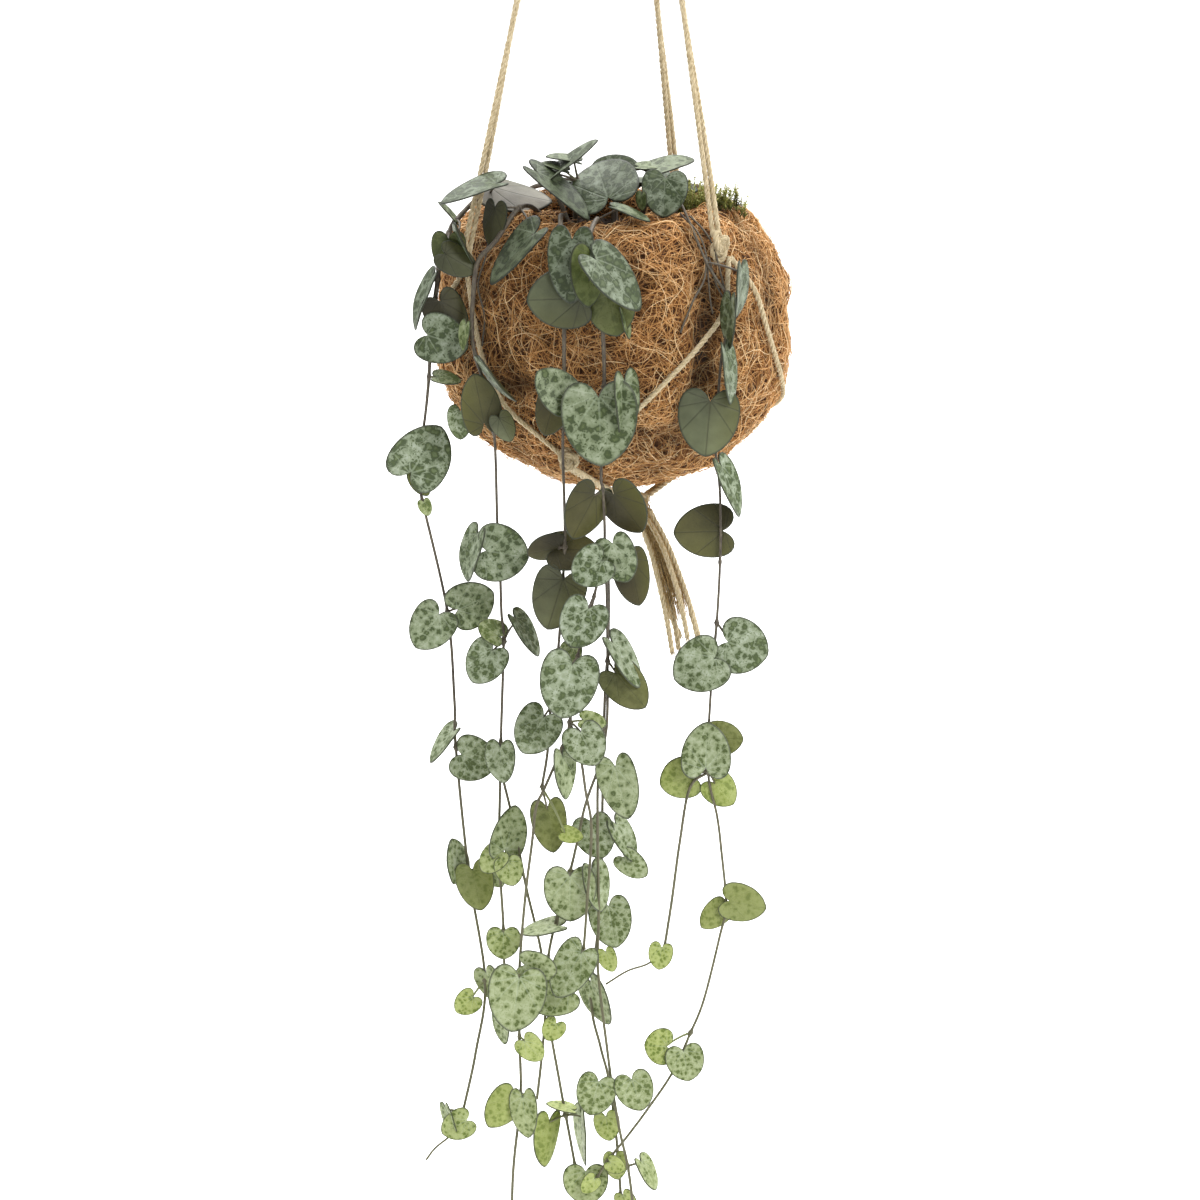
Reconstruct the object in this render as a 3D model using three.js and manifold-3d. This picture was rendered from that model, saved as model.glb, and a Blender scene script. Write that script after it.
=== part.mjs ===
// A hanging kokedama: a soil ball wrapped in coconut fibre, planted with a string of hearts and hung
// in a net of jute twine. Millimetres, +Z up, -Y to the front. The origin is the place on the hanging
// loop that bears on a hook.

import * as THREE from 'three';
import { mergeVertices } from 'three/addons/utils/BufferGeometryUtils.js';
import Module from 'manifold-3d';

const wasm = await Module();
wasm.setup();

// Driving dimensions.
const HANG = 335; // from the hook down to the ball's centre
const BALL_R = 64.5; // half the ball's width
const BALL_DEPTH = 0.945; // the ball's depth over its width
const BALL_LOW = 52; // from the ball's centre down to its underside
const BALL_HIGH = 57; // from the centre up to where its shoulders would meet
const SHOULDER = 3.5; // how square the shoulders are: 2 is an ellipse
const MOUTH_R = 43; // the ring where the wrap ends, round the plants
const WRAP = 4; // thickness of the coconut fibre
const GAP = 0.3; // clearance between neighbours that touch
const TWINE_R = 1.0; // one jute strand
const STEM_R = 0.7; // three-sided, so about 1.1 mm thick
const TENDRIL_R = 0.5;
const STEM_SIDES = 3;
const PETIOLE_R = 0.38;
const BLADE = 0.8; // thickness of a leaf
const SLIVER = 0.05; // fused bodies are tidied of facets thinner than this
const LOOP_H = 34; // height of the hanging loop
const KNOT_H = 12; // height of the wrapped knot under it

const COIR = new THREE.Color(0xa87442);
const SOIL = new THREE.Color(0x35271c);
const MOSS = new THREE.Color(0x6f7a2e);
const JUTE = new THREE.Color(0xc2a67c);
const LEAF = new THREE.Color(0x71896a);

const part = new THREE.Group();
const ball = new THREE.Group(); // everything measured from the ball's centre
ball.position.z = -HANG;
part.add(ball);

// ---------------------------------------------------------------- solids

function solidOf(geometry) {
  const bare = geometry.clone();
  bare.deleteAttribute('normal');
  bare.deleteAttribute('uv');
  const merged = mergeVertices(bare, 1e-4);
  const mesh = new wasm.Mesh({
    numProp: 3,
    vertProperties: new Float32Array(merged.attributes.position.array),
    triVerts: new Uint32Array(merged.index.array),
  });
  return new wasm.Manifold(mesh);
}

function geometryOf(solid) {
  const mesh = solid.getMesh();
  const geometry = new THREE.BufferGeometry();
  geometry.setAttribute('position', new THREE.BufferAttribute(new Float32Array(mesh.vertProperties), 3));
  geometry.setIndex(new THREE.BufferAttribute(new Uint32Array(mesh.triVerts), 1));
  geometry.computeVertexNormals();
  return geometry;
}

function fuse(solids) {
  return geometryOf(solids.reduce((whole, next) => whole.add(next)).asOriginal().simplify(SLIVER));
}

function addMesh(group, name, geometry, color, roughness = 0.85) {
  const mesh = new THREE.Mesh(geometry, new THREE.MeshStandardMaterial({ color, roughness, metalness: 0 }));
  mesh.name = name;
  group.add(mesh);
}

const vec = (p) => new THREE.Vector3(p[0], p[1], p[2]);
const rad = THREE.MathUtils.degToRad;

function curveOf(points) {
  return new THREE.CatmullRomCurve3(points.map(vec), false, 'catmullrom', 0.5);
}

function polygon(radius, sides) {
  const corners = Array.from({ length: sides }, (_, i) => {
    const a = (2 * Math.PI * i) / sides;
    return new THREE.Vector2(radius * Math.cos(a), radius * Math.sin(a));
  });
  return new THREE.Shape(corners);
}

function tube(points, radius, sides, steps) {
  return new THREE.ExtrudeGeometry(polygon(radius, sides), {
    steps,
    bevelEnabled: false,
    extrudePath: curveOf(points),
  });
}

// ---------------------------------------------------------------- the ball

const PLEAT_AZ = 32; // the deep fold right of the front, in degrees from the front
const PLEAT_WIDTH = 7;
const PLEAT_DEPTH = 6;
const BALL_SIDES = 38;
const DIP = 4.5; // how far the mouth's edge drops at the front
const DIP_FROM = 34; // and the height where that begins

function bell(value, middle, width) {
  return Math.exp(-(((value - middle) / width) ** 2));
}

function lobes(az) {
  return 0.6 * Math.sin(3 * rad(az) + 1.0) + 0.5 * Math.sin(5 * rad(az) + 0.4);
}

// The round outline, by height, of a ball grown by `grow` on the outer face of the wrap.
function outlineRadius(z, grow = 0) {
  if (z < 0) {
    return (BALL_R + grow) * Math.sqrt(Math.max(0, 1 - (z / (BALL_LOW + grow)) ** 2));
  }
  const high = Math.min(1, z / (BALL_HIGH + grow));
  return (BALL_R + grow) * (1 - high ** SHOULDER) ** (1 / SHOULDER);
}

// The place on the wrap at an azimuth from the front, +X to the right; `proud` lies off its face.
function onBall(az, z, proud = 0) {
  const r = outlineRadius(z, proud) + lobes(az);
  return [r * Math.sin(rad(az)), -BALL_DEPTH * r * Math.cos(rad(az)), z];
}

function ballForm(profile, segments) {
  const geometry = new THREE.LatheGeometry(profile.map((p) => new THREE.Vector2(p[0], p[1])), segments);
  geometry.rotateX(Math.PI / 2);
  const place = geometry.attributes.position;
  for (let i = 0; i < place.count; i += 1) {
    const [x, y, z] = [place.getX(i), place.getY(i), place.getZ(i)];
    const az = (Math.atan2(x, -y) * 180) / Math.PI;
    const share = Math.hypot(x, y) / BALL_R;
    const pleat = PLEAT_DEPTH * bell(az, PLEAT_AZ, PLEAT_WIDTH) * bell(z, 0, 40);
    const out = 1 + (share * (lobes(az) - pleat)) / (BALL_R * Math.max(share, 0.01));
    const lift = (Math.max(0, z - DIP_FROM) / (BALL_HIGH - 5 - DIP_FROM)) * bell(az, -12, 30);
    place.setXYZ(i, x * out, y * out * BALL_DEPTH, z - DIP * lift);
  }
  return geometry;
}

// Half an outline from the underside's middle up to the height where its radius is `mouth`.
function sideProfile(shrink, mouth, rows) {
  const top = (BALL_HIGH - shrink) * (1 - (mouth / (BALL_R - shrink)) ** SHOULDER) ** (1 / SHOULDER);
  return Array.from({ length: rows + 1 }, (_, i) => {
    const turn = (Math.PI / 2) * (i / rows);
    const z = -(BALL_LOW - shrink) + (top + BALL_LOW - shrink) * (1 - Math.cos(turn * 2)) * 0.5;
    return [i === 0 ? 0 : outlineRadius(z, -shrink), z];
  });
}

function makeWrap() {
  const outer = sideProfile(0, MOUTH_R + 1, 10);
  const inner = sideProfile(WRAP, MOUTH_R - 2, 6);
  return ballForm([...outer, ...inner.reverse()], BALL_SIDES);
}

const SOIL_TOP = 41;
const SOIL_GAP = 0.9; // the facets of the two faces come within about 0.3 of each other

function makeSoil() {
  const side = sideProfile(WRAP + SOIL_GAP, MOUTH_R - 2, 6).filter((p) => p[1] < SOIL_TOP - 3);
  const edge = outlineRadius(SOIL_TOP, -WRAP - SOIL_GAP) - 3;
  return ballForm([...side, [edge, SOIL_TOP], [0, SOIL_TOP + 2]], BALL_SIDES);
}

const HOLE_R = 2.7; // a stem leans a little in its hole
const HOLE_TALL = 12;

function drill(soil, root) {
  const hole = new THREE.CylinderGeometry(HOLE_R, HOLE_R, HOLE_TALL, 6);
  hole.rotateX(Math.PI / 2);
  hole.translate(root[0], root[1], root[2] - 2 * GAP + HOLE_TALL / 2);
  return soil.subtract(solidOf(hole));
}

// ---------------------------------------------------------------- leaves

// Half a heart-shaped leaf, as shares of its width and of its length from the notch to the tip.
const HEART = [[0.25, -0.24], [0.49, 0], [0.46, 0.46], [0.26, 0.82]];
const SMALL_HEART = [[0.3, -0.22], [0.5, 0.2], [0.33, 0.74]];
const SMALL_LEAF = 18; // leaves up to this length have the plainer outline
const FOLD = 0.16; // how far the two halves rise from the midrib, over the width

// A blade from the place where its stalk meets it, along the midrib, with its upper face to `up`.
function blade(base, midrib, up, length, width) {
  const side = new THREE.Vector3().crossVectors(midrib, up);
  const half = length > SMALL_LEAF ? HEART : SMALL_HEART;
  const rim = [[0, 0], ...half, [0, 1], ...half.map((p) => [-p[0], p[1]]).reverse()];
  const corners = [BLADE / 2, -BLADE / 2].flatMap((face) => rim.map(([u, v]) => base.clone()
    .addScaledVector(side, u * width)
    .addScaledVector(midrib, v * length)
    .addScaledVector(up, face + FOLD * Math.abs(u) * width)));
  const n = rim.length;
  const faces = [];
  for (let i = 1; i < n - 1; i += 1) {
    faces.push(0, i, i + 1, n, n + i + 1, n + i);
  }
  for (let i = 0; i < n; i += 1) {
    const j = (i + 1) % n;
    faces.push(i, n + i, j, j, n + i, n + j);
  }
  const geometry = new THREE.BufferGeometry().setFromPoints(corners);
  geometry.setIndex(faces);
  return geometry;
}

// The directions of a leaf seen from the front: `clock` turns its tip from straight down towards +X,
// `nod` tips it away from the front, and `turn` rolls it about its midrib, 180 showing the underside.
function leafAxes(clock, turn, nod) {
  const down = [Math.sin(rad(clock)), -Math.cos(rad(clock))];
  const midrib = new THREE.Vector3(
    down[0] * Math.cos(rad(nod)),
    Math.sin(rad(nod)),
    down[1] * Math.cos(rad(nod)),
  );
  const facing = new THREE.Vector3(0, -1, 0);
  facing.addScaledVector(midrib, -facing.dot(midrib)).normalize();
  const up = facing.clone().multiplyScalar(Math.cos(rad(turn)))
    .addScaledVector(new THREE.Vector3().crossVectors(midrib, facing), Math.sin(rad(turn)));
  return { midrib, up };
}

function leafSolids(node, start, row) {
  const [bx, by, bz, clock, length, width, turn, nod] = row;
  const { midrib, up } = leafAxes(clock, turn, nod);
  const base = node.clone().add(new THREE.Vector3(bx, by, bz));
  return stalkedBlade(start, base, midrib, up, length, width);
}

function nearestOn(corners, place) {
  const spans = corners.slice(1).map((end, i) => new THREE.Line3(corners[i], end));
  const near = spans.map((span) => span.closestPointToPoint(place, true, new THREE.Vector3()));
  return near.reduce((best, next) => (next.distanceTo(place) < best.distanceTo(place) ? next : best));
}

function stalkedBlade(start, base, midrib, up, length, width) {
  const sunk = base.clone().addScaledVector(midrib, 1.2);
  const stalk = new THREE.ExtrudeGeometry(polygon(PETIOLE_R, 3), {
    steps: 1,
    bevelEnabled: false,
    extrudePath: new THREE.LineCurve3(start, sunk),
  });
  return [solidOf(stalk), solidOf(blade(base, midrib, up, length, width))];
}

// A leafy stem: [x, y, z] places along it, and its leaves as
// [place, x, y, z from there, clock, length, width, turn, nod].
function stemSolids({ route, leaves, radius = STEM_R }) {
  const steps = Math.round(1.15 * (route.length - 1));
  const solids = [solidOf(tube(route, radius, STEM_SIDES, steps))];
  const corners = curveOf(route).getSpacedPoints(steps);
  for (const [place, ...row] of leaves) {
    const node = vec(route[place]);
    solids.push(...leafSolids(node, nearestOn(corners, node), row));
  }
  return solids;
}

// ---------------------------------------------------------------- the stems, from the ball's centre

const LEFT_OUTER = [{
  route: [
    [-28, -10, 39.5], [-33, -12, 50], [-46, -18, 57], [-57.5, -26, 48], [-60, -30, 43.8],
    [-63, -34, 39.5], [-64, -35, 27.3], [-65, -36, 20], [-66.6, -36, 7], [-67.3, -35, -8],
    [-69, -34, -24.4], [-72, -32, -43], [-70, -31, -54], [-61, -31, -95], [-58.5, -31, -128],
    [-58, -31, -146], [-53.5, -31, -192], [-47.5, -31, -233], [-51, -31, -260], [-56, -31, -283.5],
  ],
  leaves: [
    [2, 3, -24, 6, -72, 21, 20, 78, 0],
    [2, 1, -4, 2.5, 75, 23, 20, 118, 0],
    [3, 0, -1, 0, -138, 9.5, 7, 80, 0],
    [3, 1, -16, -2, 22, 13.5, 11, 80, 0],
    [4, 0, -9, -1, 0, 12.5, 12.5, 185, 4],
    [5, 2, -9, -2, 60, 13, 11.5, 165, 0],
    [6, -2, 0, 0, -22, 19.5, 20, 80, 0],
    [7, 2, -5, 0, 28, 16.5, 15, 168, 0],
    [8, -1, -6, 1, 72, 15.5, 18, -8, 0],
    [9, 3, -2, 0, 80, 9, 8, -60, 0],
    [11, -2, -3, 0, 145, 20, 22, 8, 0],
    [11, 0, 2, -1, 25, 9.5, 8.5, 150, 0],
    [12, 0.5, -1, -0.5, 20, 5.5, 5, 0, 0],
    [13, -3, -2, -1, -35, 15, 16.5, 0, -8],
    [13, 4, -2, 1, 115, 14.5, 17.5, 8, 6],
    [15, -1, 1, 6, -38, 14.5, 14, 74, 0],
    [15, 2, -2, -2, 70, 13.5, 17, 0, 0],
    [16, -4, 0, -1, -172, 13.5, 13, 55, 0],
    [16, 1.5, -3, 1, 12, 15.5, 14, 178, 0],
    [16, 6, 1, 2, 38, 10.5, 9, 30, 0],
    [17, 0.5, -1, 3, 24, 12.5, 12, 40, 0],
    [17, -4.5, -2, -6, -48, 8.5, 9.5, 0, 0],
    [19, 1.5, -2, -2, -62, 10.5, 11.5, 0, 0],
    [19, -6, 0, 2, 18, 11.5, 9, 62, 0],
  ],
}, {
  radius: TENDRIL_R,
  route: [[-56, -31, -283.5], [-60, -31.5, -291], [-66, -32.5, -296], [-69.5, -33, -300.5]],
  leaves: [],
}];

const LEFT_INNER = [{
  route: [
    [-22, -22, 39.5], [-27, -30, 51], [-34, -37, 54], [-43, -43, 42], [-49, -44, 35.4],
    [-50.7, -45, 25], [-51.4, -47, 10.3], [-50, -48.5, 1], [-46.7, -49.5, -10], [-43.4, -49, -26.6],
    [-42.4, -45, -60], [-41.6, -44, -71], [-41, -44, -93], [-40.2, -44, -104], [-41.3, -44, -141],
    [-41.6, -44, -157], [-42, -44, -183], [-40.5, -44, -211], [-40.2, -44, -240],
  ],
  leaves: [
    [2, 5, -17, -8, -42, 24, 20, 68, 0],
    [2, -9, -3, 0, -8, 14, 10, 215, 0],
    [6, -2, -2, 2, -8, 9.5, 7.5, 60, 0],
    [7, 3, -6, -2, 37, 18, 15, 78, 0],
    [8, -9, -1, -9, 0, 10.5, 9.5, 20, 0],
    [9, -3.6, -4, 4, 191, 18.5, 14.5, 180, 0],
    [9, 2, -6, 6, 27, 9.5, 8.5, 180, 0],
    [11, -8, 0, 6, -16, 17.5, 17, 66, 0],
    [11, -5, -4, 1, 80, 16, 21, -4, 0],
    [13, -1.5, -1, 2, -120, 9, 10.5, 40, 0],
    [13, -4, -3, -3, -32, 14, 15, 14, 0],
    [13, 4.5, 0, 8, 32, 16, 14, -68, 0],
    [14, 0, -2, -2, 3, 13.5, 12, 25, 0],
    [16, 2, -2, 2, 165, 17, 13.5, 20, 0],
    [16, 0, -3, 1, -43, 9.5, 10, 20, 0],
    [16, 3, -4, -2, 14, 9.5, 10.5, 0, 0],
    [17, 0, -2, -1, 0, 10, 12.5, 0, 0],
    [18, -1, 0, 0, 3, 14.5, 10, 50, 0],
  ],
}, {
  route: [
    [-41.3, -44, -152], [-37.7, -44, -167], [-34.8, -45, -181], [-31.9, -46, -196],
    [-26.5, -46, -220], [-24, -46, -244], [-20.3, -46, -266], [-17.8, -46, -280],
    [-14.4, -46, -299], [-12, -46, -316],
  ],
  leaves: [
    [7, 2, -2, 2, -105, 9.5, 8, 75, 0],
    [7, -6, -3, -2, -7, 17.5, 12, 140, 0],
    [7, 6, 1, -1, 4, 19, 15, 75, 0],
    [8, 4, -3, -2, 0, 12.5, 16.5, 0, 0],
    [9, 0, -1, 0, -30, 9.5, 8, 20, 0],
  ],
}];

const FRONT_LEFT = [{
  route: [
    [-14, -26, 39.5], [-19, -39, 51.3], [-19, -57, 44.6], [-18, -65, 28], [-18, -66, 6], [-18, -66, -12],
    [-18.5, -64, -31], [-18, -62, -50], [-17.8, -61, -66.8], [-18.5, -60, -78.6],
    [-20.2, -60, -103.7], [-23, -60, -126], [-24.2, -60, -142.4], [-26.3, -60, -155.4],
  ],
  leaves: [
    [5, 1, -5, 0, -135, 15, 15, 20, 0],
    [5, -3, -1, 1, -15, 15, 13, 195, 0],
    [8, -3, 1, -1, 88, 15.5, 15, 150, 0],
    [8, -2, 1, 0, -80, 12, 12, 150, 0],
    [9, 0, -2, 0, -17, 19.5, 19, 180, 6],
    [11, -2.5, -2, -3, -30, 15.5, 16.5, 5, 0],
    [11, 4, 1, 2, 70, 8, 6.5, -30, 0],
    [13, 2, 2, -8, 8, 16.5, 13, 178, 0],
    [13, 8, -3, -16, 75, 7.5, 6.5, 160, 0],
  ],
}];

const FRONT = [{
  route: [
    [-4, -28, 39.5], [-6, -42, 50], [-9, -59, 45.5], [-9.5, -68, 39], [-5, -69, 23.6],
    [-4, -69, 11], [-3.6, -69, -7.5], [-4.7, -70, -38.7], [-4, -71, -45], [-3.6, -73, -66],
    [-7.2, -74, -82.5], [-9.8, -74, -93.6], [-13, -74, -104.7], [-16, -74, -128.6],
    [-18.8, -74, -137.9], [-25, -74, -152.6], [-28.2, -74, -160], [-29.7, -74, -173],
    [-32.2, -74, -193.2], [-34.4, -74, -221], [-34.4, -74, -245], [-34, -74, -266.4],
    [-36.6, -74, -293], [-37.4, -74, -312],
  ],
  leaves: [
    [1, 7, -4, 4.5, 70, 13, 9, -78, 0],
    [3, -3, -4, -14, -88, 19, 22, 180, 0],
    [3, -5.5, -6, 7, -2, 23, 17, 15, 0],
    [3, 3, -12, 0.5, 41, 24, 19, -48, 0],
    [3, 1, -8.5, 2, -3, 19, 15, 148, 0],
    [4, 3, -2, 2, 12, 15, 17.5, 180, 0],
    [4, 8, -1, -4, 14, 10, 8, -70, 0],
    [6, -2, -5, -3, 3, 25, 27, 0, -5],
    [6, 7, -3, 2, 2, 21, 18, -62, 0],
    [8, -3, -1, -1, -28, 18, 15.5, 165, 0],
    [8, 4, -1, -1, 38, 17, 15.5, 195, 0],
    [9, 3, -5, 3, 22, 15, 15, 15, 0],
    [9, -1, -6, -3, -55, 12.5, 15, 10, 0],
    [9, 9, -2, -3, 12, 17.5, 14, 160, 0],
    [10, -2, -5, -4, -25, 15.5, 17, 5, 0],
    [12, -2, 2, 3, -10, 8.5, 9, 30, 0],
    [12, -2, -5, -2, -12, 20.5, 21, 5, 0],
    [13, 5, -2, 1, 80, 8.5, 7.5, -30, 0],
    [13, 4, -4, -3, 25, 13.5, 15.5, 10, 0],
    [14, 0, -2, -3, 5, 16, 13, -55, 0],
    [19, 0, -5, -1, -8, 20, 21, 0, -4],
    [19, 2, -1, 3, 78, 12, 13, 10, 0],
    [20, 2, -2, -1, 42, 9.5, 9.5, 0, 0],
    [21, -3, -2, 0, -38, 14.5, 13, 170, 0],
    [21, 1, -4, 0, 6, 15.5, 10.5, 20, 0],
    [23, -1, -2, 0, -25, 9, 8.5, 10, 0],
    [23, 1.5, 1, -1, 50, 8, 7, -20, 0],
  ],
}, {
  route: [
    [-3.6, -73, -64], [-2.7, -66, -82], [-2.4, -60, -109], [-2.7, -60, -133], [-5.6, -60, -148],
    [-6, -60, -171], [-5.6, -60, -202], [-6, -60, -219], [-5, -60, -232], [-2.8, -60, -250],
    [-0.6, -60, -267], [2.3, -60, -284], [5, -60, -296], [7.2, -60, -313], [8, -60, -325],
  ],
  leaves: [
    [2, 3, -1, -4, 40, 17, 15, 170, 4],
    [2, 2, -1, 7, 32, 19, 15, -62, 0],
    [4, 6, -3, 1, 14, 20, 15, 15, 0],
    [7, 3, -1, 3, 20, 8, 7.5, 20, 0],
    [10, -5, -3, 3, -15, 13, 14.5, 0, 0],
    [10, 7, -3, 4, 18, 12.5, 14, 0, 0],
    [12, 5, 1, 1, 28, 12, 10, -60, 0],
    [14, -1, -1, 0, -15, 9, 8.5, 0, 0],
  ],
}, {
  route: [
    [-3.6, -73, -66], [-2, -62, -80], [-2.2, -52, -104], [-3.3, -48, -122], [-4, -48, -150],
    [-4.3, -48, -168], [-5, -48, -201], [-8.3, -48, -236], [-5, -48, -254], [-2.2, -48, -265],
    [0, -48, -280], [1.5, -48, -295], [2.5, -48, -310],
  ],
  leaves: [
    [5, -4, -3, -2, 18, 14, 15, 5, 0],
    [5, 5, -2, -3, 28, 15.5, 11, -50, 0],
    [5, 8, -2, -15, 50, 11, 10, 10, 0],
    [6, 3, -3, 0, 10, 16, 15.5, 0, 0],
    [7, 0, -2, 6, 22, 17, 15, 50, 0],
    [10, -3, -2, 0, 10, 9.5, 9.5, 0, 0],
    [11, -1, -2, 0, 5, 9, 9, 10, 0],
    [12, 1, -1, 0, 30, 8.5, 8, 20, 0],
  ],
}, {
  route: [
    [-16, -74, -128.6], [-12.5, -70, -140], [-10.2, -67, -156], [-8.2, -66, -170],
    [-10, -66, -200], [-11, -66, -214],
  ],
  leaves: [
    [5, -1, -2, -1, -30, 19, 15, 15, 0],
  ],
}, {
  route: [
    [-5.6, -60, -148], [-10.4, -58, -162], [-13.4, -57, -176], [-16, -57, -187],
    [-20.3, -57, -202], [-24, -57, -219], [-25, -57, -239], [-26.5, -57, -257], [-28.2, -57, -272],
  ],
  leaves: [
    [3, 0, -4, -1, 0, 17, 19, 0, 0],
    [3, 8, -2, 1, 12, 16, 14, -50, 0],
    [4, 0, -1, -5, -78, 14, 12, 72, 0],
    [5, 7, -2, -12, -75, 16, 16, 5, 0],
    [6, 4, -2, -4, -30, 7.5, 8.5, 0, 0],
  ],
}];

const RIGHT = [{
  route: [
    [22, -20, 39.5], [23, -31, 55], [25.5, -41, 53], [33.5, -50.5, 35], [42, -55, 20], [39, -57, 4],
    [37.6, -58, -10.5], [36.6, -57, -29], [37.6, -56, -40], [38.4, -55, -51], [38.4, -54, -73],
    [37.3, -53, -95.5], [35, -52, -124.8], [34.3, -52, -151], [37.6, -52, -167.3], [39.2, -52, -180.2],
    [41, -52, -200.6], [38.8, -52, -211.7], [33, -52, -235.6], [28, -52, -248.4], [21.4, -52, -263.2],
    [13, -52, -276], [5, -52, -287], [-2.5, -52, -296.5], [-6.2, -52, -302.8],
  ],
  leaves: [
    [3, 12, -5.5, -2, -3, 17, 14, -72, 0],
    [4, 0, -4, 2, -2, 17, 13, 68, 0],
    [5, 1, -4, 0, 8, 19, 14, -70, 0],
    [7, -2, -3, 15, -5, 20, 22, 178, 0],
    [8, 1, -2, 2, 22, 19.5, 16, -68, 0],
    [10, 1, 1, 11, -88, 18, 19.5, 180, 0],
    [11, 4, -2, -7, 72, 15.5, 20.5, 0, 0],
    [11, -1, -3, -13, -62, 16.5, 20, 10, 0],
    [13, 1.5, 2.5, 12, 88, 11.5, 13, 170, 0],
    [13, -1, -3, 2, 178, 17, 18, 0, 0],
    [13, -6, 1, -2, -78, 12, 16, 172, 0],
    [13, 2, 1, -4, 42, 11, 12.5, 170, 0],
    [16, 1, -1, 2, 78, 14, 14, 176, 0],
    [16, -1, 1, -1, -48, 11, 10, 176, 0],
    [19, -8.5, -2, -4.5, -95, 8.5, 13.5, 5, 0],
    [19, -2.5, -3, -6, 10, 11.5, 14, 0, 0],
    [23, 1, -1, 0, 60, 6.5, 6.5, 0, 0],
    [24, -1, -1, 0, -40, 7, 6.5, 0, 0],
  ],
}, {
  route: [
    [34.3, -52, -151], [27.6, -52, -157], [24, -52, -177], [21.1, -52, -199], [18.5, -52, -216],
  ],
  leaves: [
    [4, -1, -1, 0, -8, 8.5, 9, 10, 0],
  ],
}, {
  radius: TENDRIL_R,
  route: [[18.5, -52, -216], [13, -52, -222], [5, -52, -225], [-3, -52, -230]],
  leaves: [],
}];

const CROWN_LEFT = [{
  route: [[-14, -14, 39.5], [-14, -18, 52], [-13, -22, 62], [-4, -26, 56]],
  leaves: [
    [3, 2, -9, 1, -158, 22.5, 25.5, 0, 56],
    [2, -8.4, -9, 3.3, 129, 20, 15, -80, 0],
    [2, -1, -6, 8, -100, 11, 10, 80, 0],
    [2, -5, -8, 5, -106, 9, 8, 75, 0],
    [2, -14.5, -17, 4.3, 50, 25, 18, -72, -5],
  ],
}];

const CROWN_RIGHT = [{
  route: [[8, -12, 39.5], [11, -18, 52], [16, -26, 62], [14, -14, 66]],
  leaves: [
    [3, -18.5, 5, -3, 107, 14, 14, -45, 0],
    [2, -6.5, 6, 5, 90, 9, 8, -75, 0],
    [2, -2, 4, 4, 104, 16, 14, -72, 10],
    [2, 2.5, -11, 2.3, -3, 14.3, 16.5, 0, -20],
    [2, -5.8, -14.5, -3, 0, 6, 6, 50, 0],
    [3, 4, 4, -5.5, 75, 14, 13, -70, 20],
  ],
}];

const STEMS = {
  vine_left_outer: LEFT_OUTER,
  vine_left_inner: LEFT_INNER,
  vine_front_left: FRONT_LEFT,
  vine_front: FRONT,
  vine_right: RIGHT,
  crown_left: CROWN_LEFT,
  crown_right: CROWN_RIGHT,
};

// ---------------------------------------------------------------- the back stems, by rule

// A small repeatable generator: each call gives the next number from 0 to 1.
function seeded(seed) {
  let state = seed;
  return () => {
    state = (state * 16807) % 2147483647;
    return state / 2147483647;
  };
}

// Azimuth where a short stem goes over the edge, how low it reaches, and its seed.
const BACK_STEMS = {
  vine_back_right: [134, -10, 11],
  vine_back: [181, -32, 23],
  vine_back_left: [-143, -10, 37],
};

function backStem([az, low, seed]) {
  const draw = seeded(seed);
  const heights = [39.5, 55, 50, 34, 12, -10, -32].filter((z) => z >= low);
  const route = heights.map((z, i) => {
    const sway = az + 3 * Math.sin(1.7 * i + seed);
    if (i < 2) {
      const r = [27, 37][i];
      return [r * Math.sin(rad(sway)), -BALL_DEPTH * r * Math.cos(rad(sway)), z];
    }
    return onBall(sway, z, 3.4);
  });
  const steps = 3 * (route.length - 1);
  const corners = curveOf(route).getSpacedPoints(steps);
  const solids = [solidOf(tube(route, STEM_R, STEM_SIDES, steps))];
  for (let i = 3; i < route.length; i += 1) {
    for (const hand of [-1, 1]) {
      const size = 15 + 5 * draw();
      const out = new THREE.Vector3(Math.sin(rad(az)), -Math.cos(rad(az)), 0.35 - 0.2 * draw()).normalize();
      const along = new THREE.Vector3(Math.cos(rad(az)) * hand, Math.sin(rad(az)) * hand, -0.5 - draw());
      along.addScaledVector(out, -along.dot(out)).normalize();
      const base = vec(route[i]).addScaledVector(out, 2.2 + hand * 0.9).addScaledVector(along, 3);
      solids.push(...stalkedBlade(nearestOn(corners, vec(route[i])), base, along, out, size, size * 1.05));
    }
  }
  return { route, solids };
}

// The leaves in the mouth behind the crown, on long stalks from one short stem.
const INNER_ROUTE = [[0, 4, 39.5], [0, 5, 47], [1, 7, 53]];
const INNER_LEAVES = 7;

function innerCrown() {
  const draw = seeded(71);
  const solids = [solidOf(tube(INNER_ROUTE, STEM_R, STEM_SIDES, 4))];
  const top = vec(INNER_ROUTE[2]).add(new THREE.Vector3(0, 0, -1));
  for (let i = 0; i < INNER_LEAVES; i += 1) {
    const az = rad(80 + (220 * i) / (INNER_LEAVES - 1) + 8 * draw());
    const out = new THREE.Vector3(Math.sin(az), -Math.cos(az), 0.08 - 0.12 * draw()).normalize();
    const up = new THREE.Vector3(0, 0, 1);
    up.addScaledVector(out, -up.dot(out)).normalize();
    const base = top.clone().addScaledVector(out, 5 + 6 * (i % 2)).addScaledVector(up, 4 + 3 * draw());
    const size = 14 + 4 * draw();
    solids.push(...stalkedBlade(top, base, out, up, size, size * 1.05));
  }
  return solids;
}

// ---------------------------------------------------------------- moss

const MOSS_AT = [30, -10, 47];
const MOSS_SPRIGS = 22;

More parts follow.
